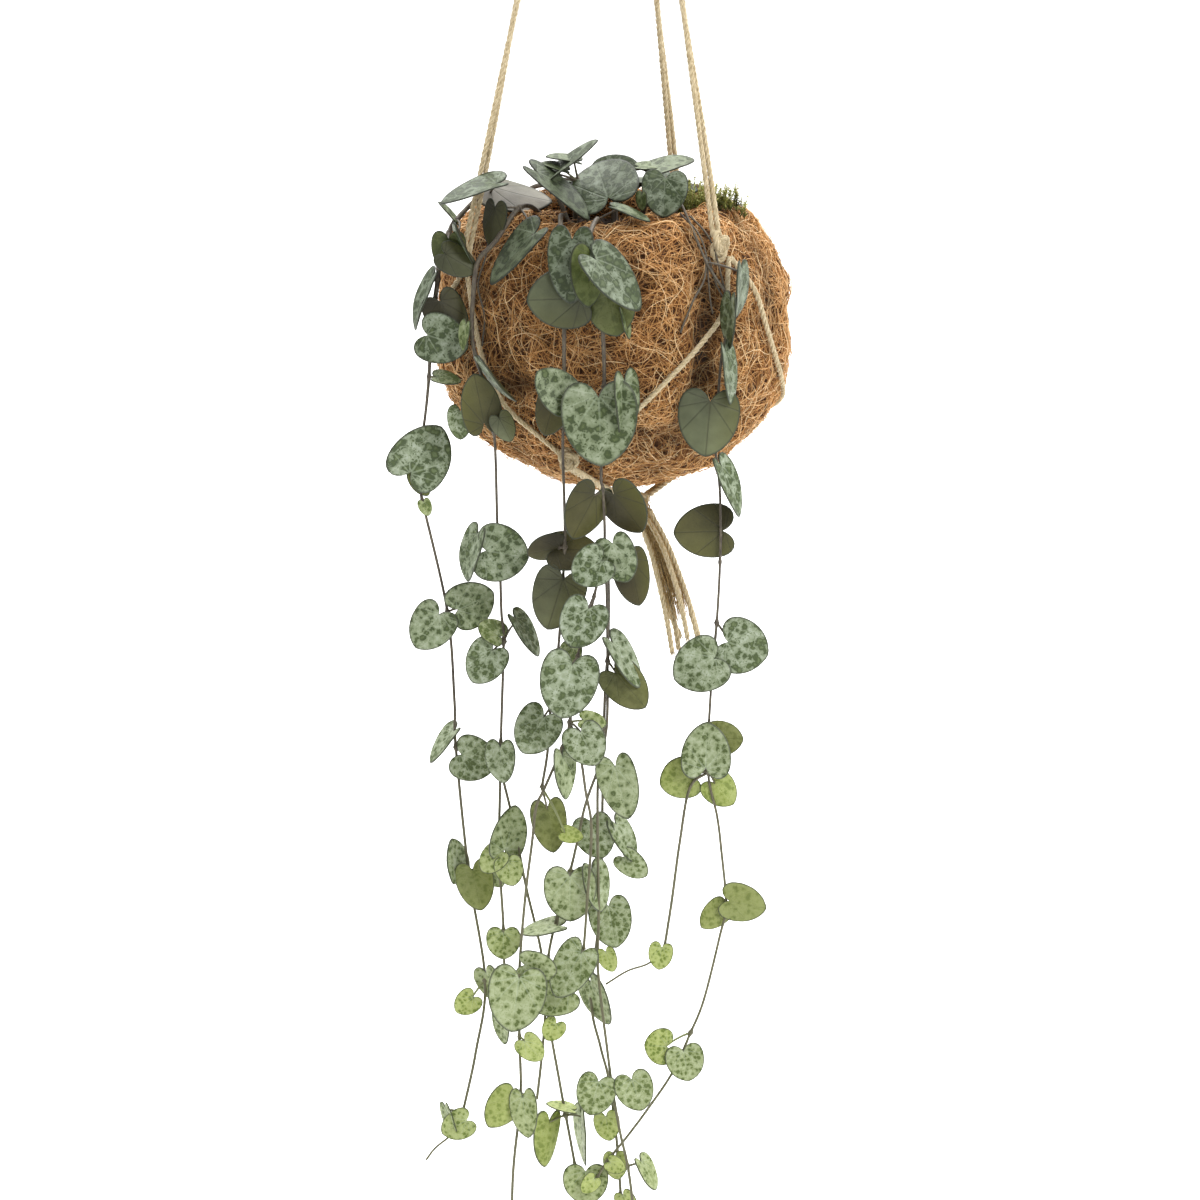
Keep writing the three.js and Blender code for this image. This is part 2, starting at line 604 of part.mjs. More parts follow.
function makeMoss() {
  const draw = seeded(5);
  const pad = new THREE.SphereGeometry(1, 10, 5);
  pad.scale(9, 9, 3.2);
  pad.translate(MOSS_AT[0], MOSS_AT[1], MOSS_AT[2]);
  const solids = [solidOf(pad)];
  for (let i = 0; i < MOSS_SPRIGS; i += 1) {
    const spread = 7.5 * Math.sqrt((i + 0.5) / MOSS_SPRIGS);
    const turn = 2.4 * i;
    const height = 5 + 4 * draw();
    const sprig = new THREE.CylinderGeometry(0.35, 1, height, 3);
    sprig.rotateX(Math.PI / 2);
    sprig.translate(0, 0, height / 2);
    sprig.rotateY(0.3 * (draw() - 0.5));
    sprig.translate(MOSS_AT[0] + spread * Math.cos(turn), MOSS_AT[1] + spread * Math.sin(turn), MOSS_AT[2]);
    solids.push(solidOf(sprig));
  }
  return fuse(solids);
}

// ---------------------------------------------------------------- jute

const KNOT_FOOT = HANG - LOOP_H - 1 - GAP - KNOT_H; // the wrapped knot's underside, from the ball's centre

// Each side knot: its place from the ball's centre, and the place where its leg leaves it.
const SIDE_KNOTS = {
  right: { knot: [38.2, -44.3, 40.6], foot: [36.5, -43.9, 46.6] },
  left: { knot: [-54, -34.7, 34.6], foot: [-52.9, -34.5, 40.5] },
  back: { knot: [24.6, 56.5, 35.6], foot: [24.2, 55.9, 41.4] },
};

// The lower knots, and the bottom one.
const LOW_KNOTS = {
  front: onBall(-19, -37, 4.2),
  right: onBall(128, -34, 4.7),
  left: onBall(-135, -36, 3.7),
};
const BOTTOM = [7.6, -4, -57.5];

function knot(place, spin, tall, wide = 0.9) {
  const form = new THREE.TorusKnotGeometry(2.9, TWINE_R, 16, 3, 2, 3);
  form.scale(wide, tall, 0.9);
  form.rotateX(Math.PI / 2);
  form.rotateZ(rad(spin));
  form.translate(...place);
  return form;
}

const PAIR = 0.85; // a strand's middle from the pair's, over its radius

// Two strands that wind slowly round each other, fused where they touch.
function pair(from, to, turns, steps) {
  const [a, b] = [vec(from), vec(to)];
  const along = b.clone().sub(a).normalize();
  const u = new THREE.Vector3(0, 1, 0).cross(along).normalize();
  const w = new THREE.Vector3().crossVectors(along, u);
  const solids = [0, Math.PI].map((start) => {
    const points = Array.from({ length: steps + 1 }, (_, i) => {
      const t = i / steps;
      const turn = start + 2 * Math.PI * turns * t;
      const p = a.clone().lerp(b, t)
        .addScaledVector(u, PAIR * TWINE_R * Math.cos(turn))
        .addScaledVector(w, PAIR * TWINE_R * Math.sin(turn));
      return [p.x, p.y, p.z];
    });
    return solidOf(tube(points, TWINE_R, 6, steps));
  });
  return fuse(solids);
}

const NET_CLEAR = 0.75; // a strand's clearance from the round outline, so that no facet touches it

// The way of a strand over the ball, as azimuths and heights.
function overBall(stops, steps) {
  return tube(stops.map(([az, z]) => onBall(az, z, TWINE_R + NET_CLEAR)), TWINE_R, 6, steps);
}

const NET = {
  net_right_front: [[41.2, 34.4], [37, 18], [28, 6.5], [18, -4.5], [8.8, -15.5], [0, -24], [-12, -33]],
  net_right_back: [[44, 34.6], [52, 24], [57, 12], [63, 0], [71, -10], [86, -19], [104, -26], [122, -31]],
  net_left_front: [[-55.3, 28.6], [-50, 12], [-45, -4], [-39, -18], [-27, -31]],
  net_left_back: [[-59.3, 28.6], [-74, 14], [-88, 0], [-104, -14], [-116, -23], [-127.5, -30]],
  net_back_right: [[155.4, 30.4], [148, 14], [142, 0], [137, -14], [131, -27]],
  net_back_left: [[158.3, 29.6], [176, 14], [192, 0], [206, -14], [214, -23], [221, -30]],
};

// How far each lower pair starts in from its knot and below it, and how far it ends from the bottom one.
const PAIR_ENDS = { front: [4.2, 4.4, 3.9], right: [4.2, 3, 4.5], left: [4, 3, 4.8] };

function lowPair(from, name) {
  const start = vec(from);
  const end = new THREE.Vector3(...BOTTOM);
  const flat = end.clone().sub(start).setZ(0).normalize();
  const [fromKnot, drop, toBottom] = PAIR_ENDS[name];
  const a = start.addScaledVector(flat, fromKnot);
  const b = end.addScaledVector(flat, -toBottom);
  a.z -= drop;
  const mid = a.clone().lerp(b, 0.5);
  mid.z = -BALL_LOW * Math.sqrt(1 - (mid.x / BALL_R) ** 2 - (mid.y / (BALL_R * BALL_DEPTH)) ** 2) - 2.3;
  const side = new THREE.Vector3(-flat.y, flat.x, 0).multiplyScalar(PAIR * TWINE_R);
  const solids = [1, -1].map((hand) => {
    const points = [a, mid, b].map((p) => p.clone().addScaledVector(side, hand).toArray());
    return solidOf(tube(points, TWINE_R, 6, 6));
  });
  return fuse(solids);
}

// The tails under the bottom knot, each a [x, y, z] way from the ball's centre.
const TAILS = {
  tail_1: [[8, -5.4, -62], [13.4, -7, -75], [16.6, -7.5, -88], [19.4, -8, -101], [21.6, -8.5, -114]],
  tail_2: [[10.8, -2.8, -61.8], [15.8, -4.6, -74], [19, -5, -86], [21.6, -5.4, -98], [24, -6, -113]],
  tail_3: [[8.3, -2.8, -62], [13.2, -2.2, -76], [17.6, -2, -90], [21, -1.6, -101], [24.6, -1.4, -109]],
  tail_4: [[10.6, -5.3, -61.8], [16.8, -9.2, -72], [21.4, -10.2, -84], [24.6, -11, -95], [27.2, -11.6, -108]],
  tail_5: [[13.1, -5.2, -61.6], [19.4, -6.6, -73], [24.2, -7.2, -85], [27.6, -8, -95], [30.6, -8.6, -107]],
  tail_6: [[13.3, -2.7, -61.6], [18.4, -0.6, -73.5], [23.8, 0, -86], [28, 0.4, -97], [31.6, 0.6, -110]],
};

function makeLoop() {
  const half = 8.5;
  const low = -LOOP_H - 0.6;
  const points = [
    [-1.7, 0, low], [-4.5, 0, low + 8], [-half, 0, low + 20], [-6.2, 0, -2.6], [0, 0, TWINE_R],
    [6.2, 0, -2.6], [half, 0, low + 20], [4.5, 0, low + 8], [1.7, 0, low],
  ];
  return tube(points, TWINE_R + 0.35, 5, 17);
}

function makeTopKnot() {
  const turns = 4;
  const profile = [[0, -KNOT_H / 2]];
  for (let i = 0; i <= 2 * turns; i += 1) {
    profile.push([i % 2 ? 4.5 : 3.7, -KNOT_H / 2 + (KNOT_H * i) / (2 * turns)]);
  }
  profile.push([0, KNOT_H / 2]);
  const geometry = new THREE.LatheGeometry(profile.map((p) => new THREE.Vector2(...p)), 9);
  geometry.rotateX(Math.PI / 2);
  geometry.translate(0, 0, -LOOP_H - 1 - GAP - KNOT_H / 2);
  return geometry;
}

// ---------------------------------------------------------------- assembly

const backs = Object.entries(BACK_STEMS).map(([name, facts]) => [name, backStem(facts)]);
const roots = [
  ...Object.values(STEMS).map((stems) => stems[0].route[0]),
  ...backs.map(([, { route }]) => route[0]),
  INNER_ROUTE[0],
];

addMesh(ball, 'coir_wrap', geometryOf(solidOf(makeWrap())), COIR, 0.95);
addMesh(ball, 'soil_ball', geometryOf(roots.reduce(drill, solidOf(makeSoil()))), SOIL, 1);
addMesh(ball, 'moss_tuft', makeMoss(), MOSS, 0.95);

for (const [name, stems] of Object.entries(STEMS)) {
  addMesh(ball, name, fuse(stems.flatMap(stemSolids)), LEAF, 0.55);
}
for (const [name, { solids }] of backs) {
  addMesh(ball, name, fuse(solids), LEAF, 0.55);
}

addMesh(ball, 'crown_inner', fuse(innerCrown()), LEAF, 0.55);

addMesh(part, 'hang_loop', geometryOf(solidOf(makeLoop())), JUTE);
addMesh(part, 'top_knot', geometryOf(solidOf(makeTopKnot())), JUTE);

const LEG_HEADS = { right: [1.2, -1.1], left: [-2.6, -1.1], back: [-0.7, 2.1] };
for (const [name, { knot: place, foot }] of Object.entries(SIDE_KNOTS)) {
  const head = [...LEG_HEADS[name], KNOT_FOOT - 0.7];
  addMesh(ball, `leg_${name}`, pair(foot, head, 0.8, 4), JUTE);
  addMesh(ball, `side_knot_${name}`, geometryOf(solidOf(knot(place, name === 'back' ? -20 : 40, 1.25))), JUTE);
}
for (const [name, stops] of Object.entries(NET)) {
  addMesh(ball, name, geometryOf(solidOf(overBall(stops, stops.length + 1))), JUTE);
}
for (const [name, place] of Object.entries(LOW_KNOTS)) {
  addMesh(ball, `low_knot_${name}`, geometryOf(solidOf(knot(place, 20, 1))), JUTE);
  addMesh(ball, `base_pair_${name}`, lowPair(place, name), JUTE);
}
addMesh(ball, 'bottom_knot', geometryOf(solidOf(knot(BOTTOM, 0, 0.85, 1.3))), JUTE);
for (const [name, route] of Object.entries(TAILS)) {
  addMesh(ball, name, geometryOf(solidOf(tube(route, TWINE_R, 8, 7))), JUTE);
}

export default part;
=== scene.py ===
# %% [markdown]
# # A hanging kokedama with string of hearts
# A ball of soil is wrapped in coconut fibre, planted with trailing stems and hung in a net of jute twine.
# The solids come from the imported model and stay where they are. Each cell below dresses one kind of piece:
# twine, fibre, leaves, moss and soil. Places are written in millimetres from the ball's centre, because
# that is how the solids were laid out, and one function turns them into the scene's metres.

# %% Load the fixed frame
import math

import bpy
import numpy as np
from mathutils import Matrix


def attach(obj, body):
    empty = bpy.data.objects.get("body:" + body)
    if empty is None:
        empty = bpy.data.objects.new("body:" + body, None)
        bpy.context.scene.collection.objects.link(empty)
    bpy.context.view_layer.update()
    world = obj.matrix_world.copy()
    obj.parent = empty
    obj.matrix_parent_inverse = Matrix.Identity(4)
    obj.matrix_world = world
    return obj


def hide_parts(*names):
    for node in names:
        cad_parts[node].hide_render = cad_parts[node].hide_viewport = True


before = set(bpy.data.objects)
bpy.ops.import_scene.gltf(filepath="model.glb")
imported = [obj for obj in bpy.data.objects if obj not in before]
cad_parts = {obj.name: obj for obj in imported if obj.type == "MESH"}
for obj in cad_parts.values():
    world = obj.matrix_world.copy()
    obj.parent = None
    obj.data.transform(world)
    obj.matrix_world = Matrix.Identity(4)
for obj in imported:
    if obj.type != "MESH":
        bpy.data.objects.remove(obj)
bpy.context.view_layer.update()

HANG = 335.0  # from the hook, which is the origin, down to the ball's centre
MM = 0.001

# %% [markdown]
# ## Camera
# The photograph looks slightly down at the ball from a few metres away through a long lens, which keeps the
# twine legs nearly straight. A long lens far away copies that better than a wide one close by.

# %% Make the camera
CAMERA_PLACE = (-0.0051, -2.6, -0.019)
TILT_DOWN = 9
LENS = 213.2  # on a sensor 36 mm wide

camera_data = bpy.data.cameras.new("camera")
camera_data.lens, camera_data.sensor_width = LENS, 36
camera = bpy.data.objects.new("camera", camera_data)
camera.location = CAMERA_PLACE
camera.rotation_euler = (math.radians(90 - TILT_DOWN), 0, 0)
bpy.context.scene.collection.objects.link(camera)
bpy.context.scene.camera = camera
print("camera", CAMERA_PLACE)

# %% [markdown]
# ## Stage and light
# The picture has one even pale background. A large floor far below fills the whole view, so no horizon
# shows. A pale world gives the soft light from all sides, and one broad lamp from the upper right models
# the fibres and leaves.

# %% Make the floor, the world and the lamps
def from_hex(code, alpha=1.0):
    """An sRGB hex colour as the linear numbers that a shader needs."""
    parts = [int(code[i : i + 2], 16) / 255 for i in (1, 3, 5)]
    return [c / 12.92 if c <= 0.04045 else ((c + 0.055) / 1.055) ** 2.4 for c in parts] + [alpha]


FLOOR_DEPTH = -1.35
FLOOR_HALF = 40
SKY_STRENGTH = 0.42

corners = [(x * FLOOR_HALF, y * FLOOR_HALF, FLOOR_DEPTH) for x, y in ((-1, -1), (1, -1), (1, 1), (-1, 1))]
floor_mesh = bpy.data.meshes.new("floor")
floor_mesh.from_pydata(corners, [], [(0, 1, 2, 3)])
floor = bpy.data.objects.new("floor", floor_mesh)
bpy.context.scene.collection.objects.link(floor)

bpy.context.scene.view_settings.view_transform = "Standard"
world = bpy.data.worlds.new("studio")
world.use_nodes = True
world.node_tree.nodes["Background"].inputs["Color"].default_value = from_hex("#ffffff")
world.node_tree.nodes["Background"].inputs["Strength"].default_value = SKY_STRENGTH
bpy.context.scene.world = world

LAMPS = {
    # name: place, aim, size in metres, watts
    "key": ((1.25, -1.7, 0.85), (0, 0, -0.38), 0.9, 36),
    "fill": ((-1.8, -1.6, 0.1), (0, 0, -0.4), 1.6, 5),
    "floor_wash": ((0, 6, 6), (0, 8, FLOOR_DEPTH), 14, 2900),
}
for name, (place, aim, size, watts) in LAMPS.items():
    lamp = bpy.data.lights.new(name, "AREA")
    lamp.size, lamp.energy = size, watts
    holder = bpy.data.objects.new(name, lamp)
    holder.location = place
    x, y, z = np.array(aim) - np.array(place)
    holder.rotation_euler = (math.atan2(math.hypot(x, y), -z), 0, math.atan2(y, x) - math.pi / 2)
    bpy.context.scene.collection.objects.link(holder)
print(len(LAMPS), "lamps")

# %% [markdown]
# ## Helpers for shader nodes
# Every finish below is a small node tree. The first function adds a node, sets its options, sets or links
# each input and hands back one output, so that a tree reads as a list of steps. The second makes a material
# from a function that paints it. Numbers that are the same all over go straight onto the shader.

# %% Node and finish helpers
def add(tree, kind, inputs=None, stops=None, out=0, **settings):
    node = tree.nodes.new("ShaderNode" + kind)
    for key, value in settings.items():
        setattr(node, key, value)
    for i, (place, code) in enumerate((stops or {}).items()):
        ramp = node.color_ramp.elements
        element = ramp[i] if i < 2 else ramp.new(place)
        element.position, element.color = place, from_hex(code)
    for key, value in (inputs or {}).items():
        if isinstance(value, bpy.types.NodeSocket):
            tree.links.new(value, node.inputs[key])
        else:
            node.inputs[key].default_value = from_hex(value) if isinstance(value, str) else value
    return node.outputs[out]


MIX = {"out": 2, "data_type": "RGBA"}  # settings of a node that mixes two colours
TINT = {**MIX, "blend_type": "MULTIPLY"}


def finish(name, roughness, paint, stops=None, bump=(0, 0), specular=0.5, sheen=0.0):
    """A material. paint() gives its colour, and the height of its grain where it has one."""
    material = bpy.data.materials.new(name)
    material.use_nodes = True
    tree = material.node_tree
    shader = tree.nodes["Principled BSDF"]
    colour, height = paint(tree, stops)
    tree.links.new(colour, shader.inputs["Base Color"])
    if height is not None:
        relief = add(tree, "Bump", {"Height": height, "Strength": bump[0], "Distance": bump[1]})
        tree.links.new(relief, shader.inputs["Normal"])
    for key, value in {"Roughness": roughness, "Specular IOR Level": specular, "Sheen Weight": sheen}.items():
        shader.inputs[key].default_value = value
    print("finish", name)
    return material


def paint_floor(tree, stops):
    return add(tree, "ValToRGB", {0: add(tree, "TexNoise", {"Scale": 0.3, "Detail": 1})}, stops), None


FLOOR_TONES = {0.3: "#f6f6f5", 0.7: "#f9f9f8"}
floor.data.materials.append(finish("painted_studio_floor", 0.9, paint_floor, FLOOR_TONES))

# %% [markdown]
# ## Smooth ways and tubes
# Stems, twine and fibres are all long thin tubes along a smooth line. It runs in cubic pieces through a few
# given places, and its slope at each of them follows the places before and after. The solids used the same
# curve. Whole bundles are made as arrays at once, because thousands of separate curve objects would be slow.

# %% Curves in arrays
STRAND_STEP = 0.7  # mm between places along a strand of twine
STEM_STEP = 0.9


def unit(v):
    return v / np.maximum(np.linalg.norm(v, axis=-1, keepdims=True), 1e-9)


def run_along(line):
    """The length of the line up to each of its places."""
    return np.concatenate([[0], np.cumsum(np.linalg.norm(np.diff(line, axis=0), axis=1))])


def even_line(line, step=STRAND_STEP):
    run = run_along(line)
    at = np.linspace(0, run[-1], max(3, int(round(run[-1] / step)) + 1))
    return np.stack([np.interp(at, run, line[:, k]) for k in range(3)], axis=1)


def smooth_line(points, step=STRAND_STEP):
    """Evenly spaced places along the smooth curve through the points."""
    p = np.asarray(points, float)
    p = np.vstack([2 * p[0] - p[1], p, 2 * p[-1] - p[-2]])
    t = np.linspace(0, 1, 16, endpoint=False)[:, None]
    parts = []
    for i in range(1, len(p) - 2):
        m1, m2 = 0.5 * (p[i + 1] - p[i - 1]), 0.5 * (p[i + 2] - p[i])
        parts.append(
            (2 * t**3 - 3 * t**2 + 1) * p[i]
            + (t**3 - 2 * t**2 + t) * m1
            + (3 * t**2 - 2 * t**3) * p[i + 1]
            + (t**3 - t**2) * m2
        )
    return even_line(np.vstack(parts + [p[-2][None]]), step)


def line_frames(line):
    """The direction at each place, and two steady crosswise directions."""
    tangent = unit(np.gradient(line, axis=0))
    across = np.zeros_like(line)
    first = np.cross(tangent[0], [0.0, 0.0, 1.0])
    if np.linalg.norm(first) < 0.1:
        first = np.cross(tangent[0], [0.0, 1.0, 0.0])
    across[0] = unit(first)
    for i in range(1, len(line)):
        across[i] = unit(across[i - 1] - tangent[i] * np.dot(across[i - 1], tangent[i]))
    return tangent, across, np.cross(tangent, across)


# %% Tubes and pieces from arrays
def tubes(lines, refs, radii, sides=3, closed_ends=False):
    """Tubes round many lines of the same count of places: vertices, faces, and the tube of each vertex."""
    count, places = lines.shape[:2]
    tangent = unit(np.gradient(lines, axis=1))
    side = unit(np.cross(tangent, refs))
    top = np.cross(side, tangent)
    turn = 2 * np.pi * np.arange(sides) / sides
    radii = np.broadcast_to(radii, (count, places))
    ring = np.cos(turn)[:, None] * side[:, :, None, :] + np.sin(turn)[:, None] * top[:, :, None, :]
    verts = lines[:, :, None, :] + radii[:, :, None, None] * ring
    index = np.arange(count * places * sides).reshape(count, places, sides)
    a, b = index[:, :-1, :], index[:, 1:, :]
    faces = np.stack([a, np.roll(a, -1, 2), np.roll(b, -1, 2), b], axis=-1).reshape(-1, 4).tolist()
    if closed_ends:
        faces += index[:, 0, ::-1].tolist() + index[:, -1, :].tolist()
    return verts.reshape(-1, 3), faces, np.repeat(np.arange(count), places * sides)


def gather(parts):
    """Joins lists of (vertices, faces, attributes) into one."""
    verts, faces, facts, start = [], [], {}, 0
    for v, f, extra in parts:
        verts.append(v)
        faces += [[i + start for i in face] for face in f]
        start += len(v)
        for key, values in extra.items():
            facts.setdefault(key, []).append(values)
    return np.vstack(verts), faces, {key: np.concatenate(values) for key, values in facts.items()}


def in_metres(points):
    return ((np.asarray(points, float) - [0, 0, HANG]) * MM).tolist()


def add_piece(name, verts, faces, facts, slot, material, stands_for=()):
    """A mesh object from millimetres off the ball's centre, riding on the one body."""
    mesh = bpy.data.meshes.new(name)
    mesh.from_pydata(in_metres(verts), [], faces)
    mesh.update()
    mesh.shade_smooth()
    for key, values in facts.items():
        values = np.asarray(values, np.float32)
        kind, field = ("FLOAT", "value") if values.ndim == 1 else ("FLOAT_VECTOR", "vector")
        mesh.attributes.new(key, kind, "POINT").data.foreach_set(field, values.ravel())
    mesh.materials.append(material)
    piece = bpy.data.objects.new(name, mesh)
    bpy.context.scene.collection.objects.link(piece)
    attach(piece, "root")
    if stands_for:
        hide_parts(*stands_for)
    print(f"{name}: {len(mesh.polygons)} faces")
    return piece


# %% [markdown]
# ## Jute twine
# Jute twine is three plies of dull golden bast fibre, twisted together and left hairy. Each ply is modelled
# as its own tube on a helix, so the grooves between them are real. Short stray hairs are a separate bundle.
# The colour runs in thin streaks along each ply, from straw to a browner tan. Loose fibre that was never
# spun is painted browner, as the shade among the tassel's tails.

# %% Jute finish
TWINE_R = 1.0
TWINE_PITCH = 7.5  # one full twist of 2 mm craft twine
PLY_R = 0.54  # times the twine's radius, a little over half, so that the plies press together


def paint_twine(tree, stops):
    """Streaks of fibre about 0.25 mm wide and several millimetres long, in paler and darker places."""
    where = add(tree, "Attribute", out="Vector", attribute_name="ply")
    streaks = add(tree, "TexNoise", {"Vector": where, "Scale": 1.0, "Detail": 3, "Roughness": 0.65})
    blotch = add(tree, "TexNoise", {"Scale": 90, "Detail": 2})
    both = add(tree, "Math", {0: streaks, 1: blotch}, operation="ADD")
    half = add(tree, "Math", {0: both, 1: 0.5}, operation="MULTIPLY")
    return add(tree, "ValToRGB", {0: half}, stops), streaks


SPUN_TONES = {0.3: "#837353", 0.43: "#aa9875", 0.55: "#c7b795", 0.72: "#e2d7bc"}
# The loose fibre's browner tones are painted shade among the tails.
LOOSE_TONES = {0.3: "#5f4a2c", 0.45: "#917548", 0.55: "#b89a68", 0.72: "#dcc798"}
JUTE = finish("spun_jute", 0.88, paint_twine, SPUN_TONES, (0.5, 0.0003), 0.3, 0.15)
BAST = finish("loose_jute_fibre", 0.88, paint_twine, LOOSE_TONES, (0.5, 0.0003), 0.3, 0.15)


def twine(line, radius=TWINE_R, phase=0.0, pitch=TWINE_PITCH, sides=6):
    """Three plies wound round one evenly spaced line."""
    _, across, up = line_frames(line)
    run = run_along(line)
    lines, refs = [], []
    for k in range(3):
        turn = (phase + 2 * np.pi * k / 3 + 2 * np.pi * run / pitch)[:, None]
        out = np.cos(turn) * across + np.sin(turn) * up
        lines.append(line + 0.5 * radius * out)
        refs.append(out)
    verts, faces, which = tubes(np.array(lines), refs, PLY_R * radius, sides, closed_ends=True)
    spread = np.tile(np.repeat(run, sides), 3) * 0.35
    rounding = np.tile(2 * np.pi * np.arange(sides) / sides, 3 * len(line))
    ply = np.stack([spread, 2.2 * np.cos(rounding), 2.2 * np.sin(rounding) + 7 * which], axis=1)
    return verts, faces, {"ply": ply}


# %% [markdown]
# ## The tassel
# Below the bottom knot the six ends of the twine hang as a short tassel, 49 to 54 mm long. They are the only
# free cords here, and they are made first. A limp cord this
# short hangs nearly straight, with a slight set from its twist.

# %% Make the six tails
TAILS = [
    # places down each tail, from inside the bottom knot
    [[8, -5.4, -62], [13.4, -7, -75], [16.6, -7.5, -88], [19.4, -8, -101], [21.6, -8.5, -114]],
    [[10.8, -2.8, -61.8], [15.8, -4.6, -74], [19, -5, -86], [21.6, -5.4, -98], [24, -6, -113]],
    [[8.3, -2.8, -62], [13.2, -2.2, -76], [17.6, -2, -90], [21, -1.6, -101], [24.6, -1.4, -109]],
    [[10.6, -5.3, -61.8], [16.8, -9.2, -72], [21.4, -10.2, -84], [24.6, -11, -95], [27.2, -11.6, -108]],
    [[13.1, -5.2, -61.6], [19.4, -6.6, -73], [24.2, -7.2, -85], [27.6, -8, -95], [30.6, -8.6, -107]],
    [[13.3, -2.7, -61.6], [18.4, -0.6, -73.5], [23.8, 0, -86], [28, 0.4, -97], [31.6, 0.6, -110]],
]
TAIL_LINES = [smooth_line(points) for points in TAILS]
TWINE_LINES = list(TAIL_LINES)  # every strand's line, for the stray hairs

for i, (points, line) in enumerate(zip(TAILS, TAIL_LINES)):
    name = f"tail_{i + 1}"
    tail = add_piece("jute_" + name, *twine(line, phase=i), "jute", JUTE, [name])

# %% [markdown]
# ## The ball's form
# The wrap is a sheet of needled coconut fibre, gathered round the soil. It bulges between folds: a deep
# upright fold right of the front, a shorter crease low on the left, and small gathers round the mouth. The
# smooth outline is the solid's own, and waves of noise in three sizes add the lumps. One function gives any
# place on it, so the felt, the fibres and the net all agree on where the surface is.

# %% The solid's smooth outline
BALL_R = 64.5
BALL_DEPTH = 0.945
BALL_LOW = 52
BALL_HIGH = 57
SHOULDER = 3.5
MOUTH_R = 43
DIP = 4.5
DIP_FROM = 34
PLEAT_AZ = 32


def bell(value, middle, width):
    return np.exp(-(((value - middle) / width) ** 2))


def lobes(az):
    return 0.6 * np.sin(3 * np.radians(az) + 1.0) + 0.5 * np.sin(5 * np.radians(az) + 0.4)


def outline_radius(z, grow=0.0):
    low = np.sqrt(np.clip(1 - (np.minimum(z, 0) / (BALL_LOW + grow)) ** 2, 0, 1))
    high = np.clip(1 - np.clip(z / (BALL_HIGH + grow), 0, 1) ** SHOULDER, 0, 1) ** (1 / SHOULDER)
    return (BALL_R + grow) * np.where(z < 0, low, high)


def at_azimuth(az, r, z):
    """A place at an azimuth in degrees from the front, on an oval of that radius."""
    turn = math.radians(az)
    return [float(r * math.sin(turn)), float(-BALL_DEPTH * r * math.cos(turn)), z]


def on_ball(az, z, proud=0.0):
    return at_azimuth(az, outline_radius(np.float64(z), proud) + lobes(az), z)


# The outline from the underside's middle up over the rim and down inside the mouth, by its own length.
OUTSIDE = 200  # of its places are outside, and the rest run down into the mouth
rise = np.linspace(0, np.pi, OUTSIDE)
mouth_top = BALL_HIGH * (1 - ((MOUTH_R + 1) / BALL_R) ** SHOULDER) ** (1 / SHOULDER)
outer_z = -BALL_LOW + (mouth_top + BALL_LOW) * (1 - np.cos(rise)) / 2
OUTLINE = np.vstack([
    np.stack([outline_radius(outer_z), outer_z], axis=1),
    [[43.2, 53.2], [42, 53.0], [41, 51.5], [40.6, 48], [40.5, 44], [40.5, 40.5]],
])
OUTLINE_RUN = run_along(OUTLINE)
RIM_RUN = OUTLINE_RUN[OUTSIDE]
print("ball outline", round(float(OUTLINE_RUN[-1]), 1), "mm long")


def outline_reach(run):
    """How far the outline is from the middle at a length up it."""
    return np.interp(run, OUTLINE_RUN, OUTLINE[:, 0])


def plain_ball(az, run):
    """The solid's own face at an azimuth in degrees and a length up the outline."""
    z = np.interp(run, OUTLINE_RUN, OUTLINE[:, 1])
    off = (az + 180) % 360 - 180
    pleat = 6 * bell(off, PLEAT_AZ, 7) * bell(z, 0, 40)
    r = outline_reach(run) * (1 + (lobes(az) - pleat) / BALL_R)
    lift = np.clip(z - DIP_FROM, 0, None) / (BALL_HIGH - 5 - DIP_FROM) * bell(off, -12, 30)
    turn = np.radians(az)
    return np.stack([r * np.sin(turn), -r * np.cos(turn) * BALL_DEPTH, z - DIP * lift], axis=-1)


# %% Lumps and folds of the wrap
def wave_noise(seed, length, count=26):
    """A smooth random field in space whose lumps are about `length` mm across."""
    draw = np.random.default_rng(seed)
    ways = unit(draw.normal(size=(count, 3))) * (2 * np.pi / (length * draw.uniform(0.7, 1.5, (count, 1))))
    starts = draw.uniform(0, 2 * np.pi, count)
    return lambda p: np.sin(p @ ways.T + starts).sum(-1) / math.sqrt(count / 2)


BIG_LUMPS, MID_LUMPS, SMALL_LUMPS = wave_noise(1, 42), wave_noise(2, 17), wave_noise(3, 7)
DEEPEST = -2.7  # mm, so that no fold cuts through to the soil
BEDDING = 0.9  # mm that the mat's own face lies under the tops of its fibres


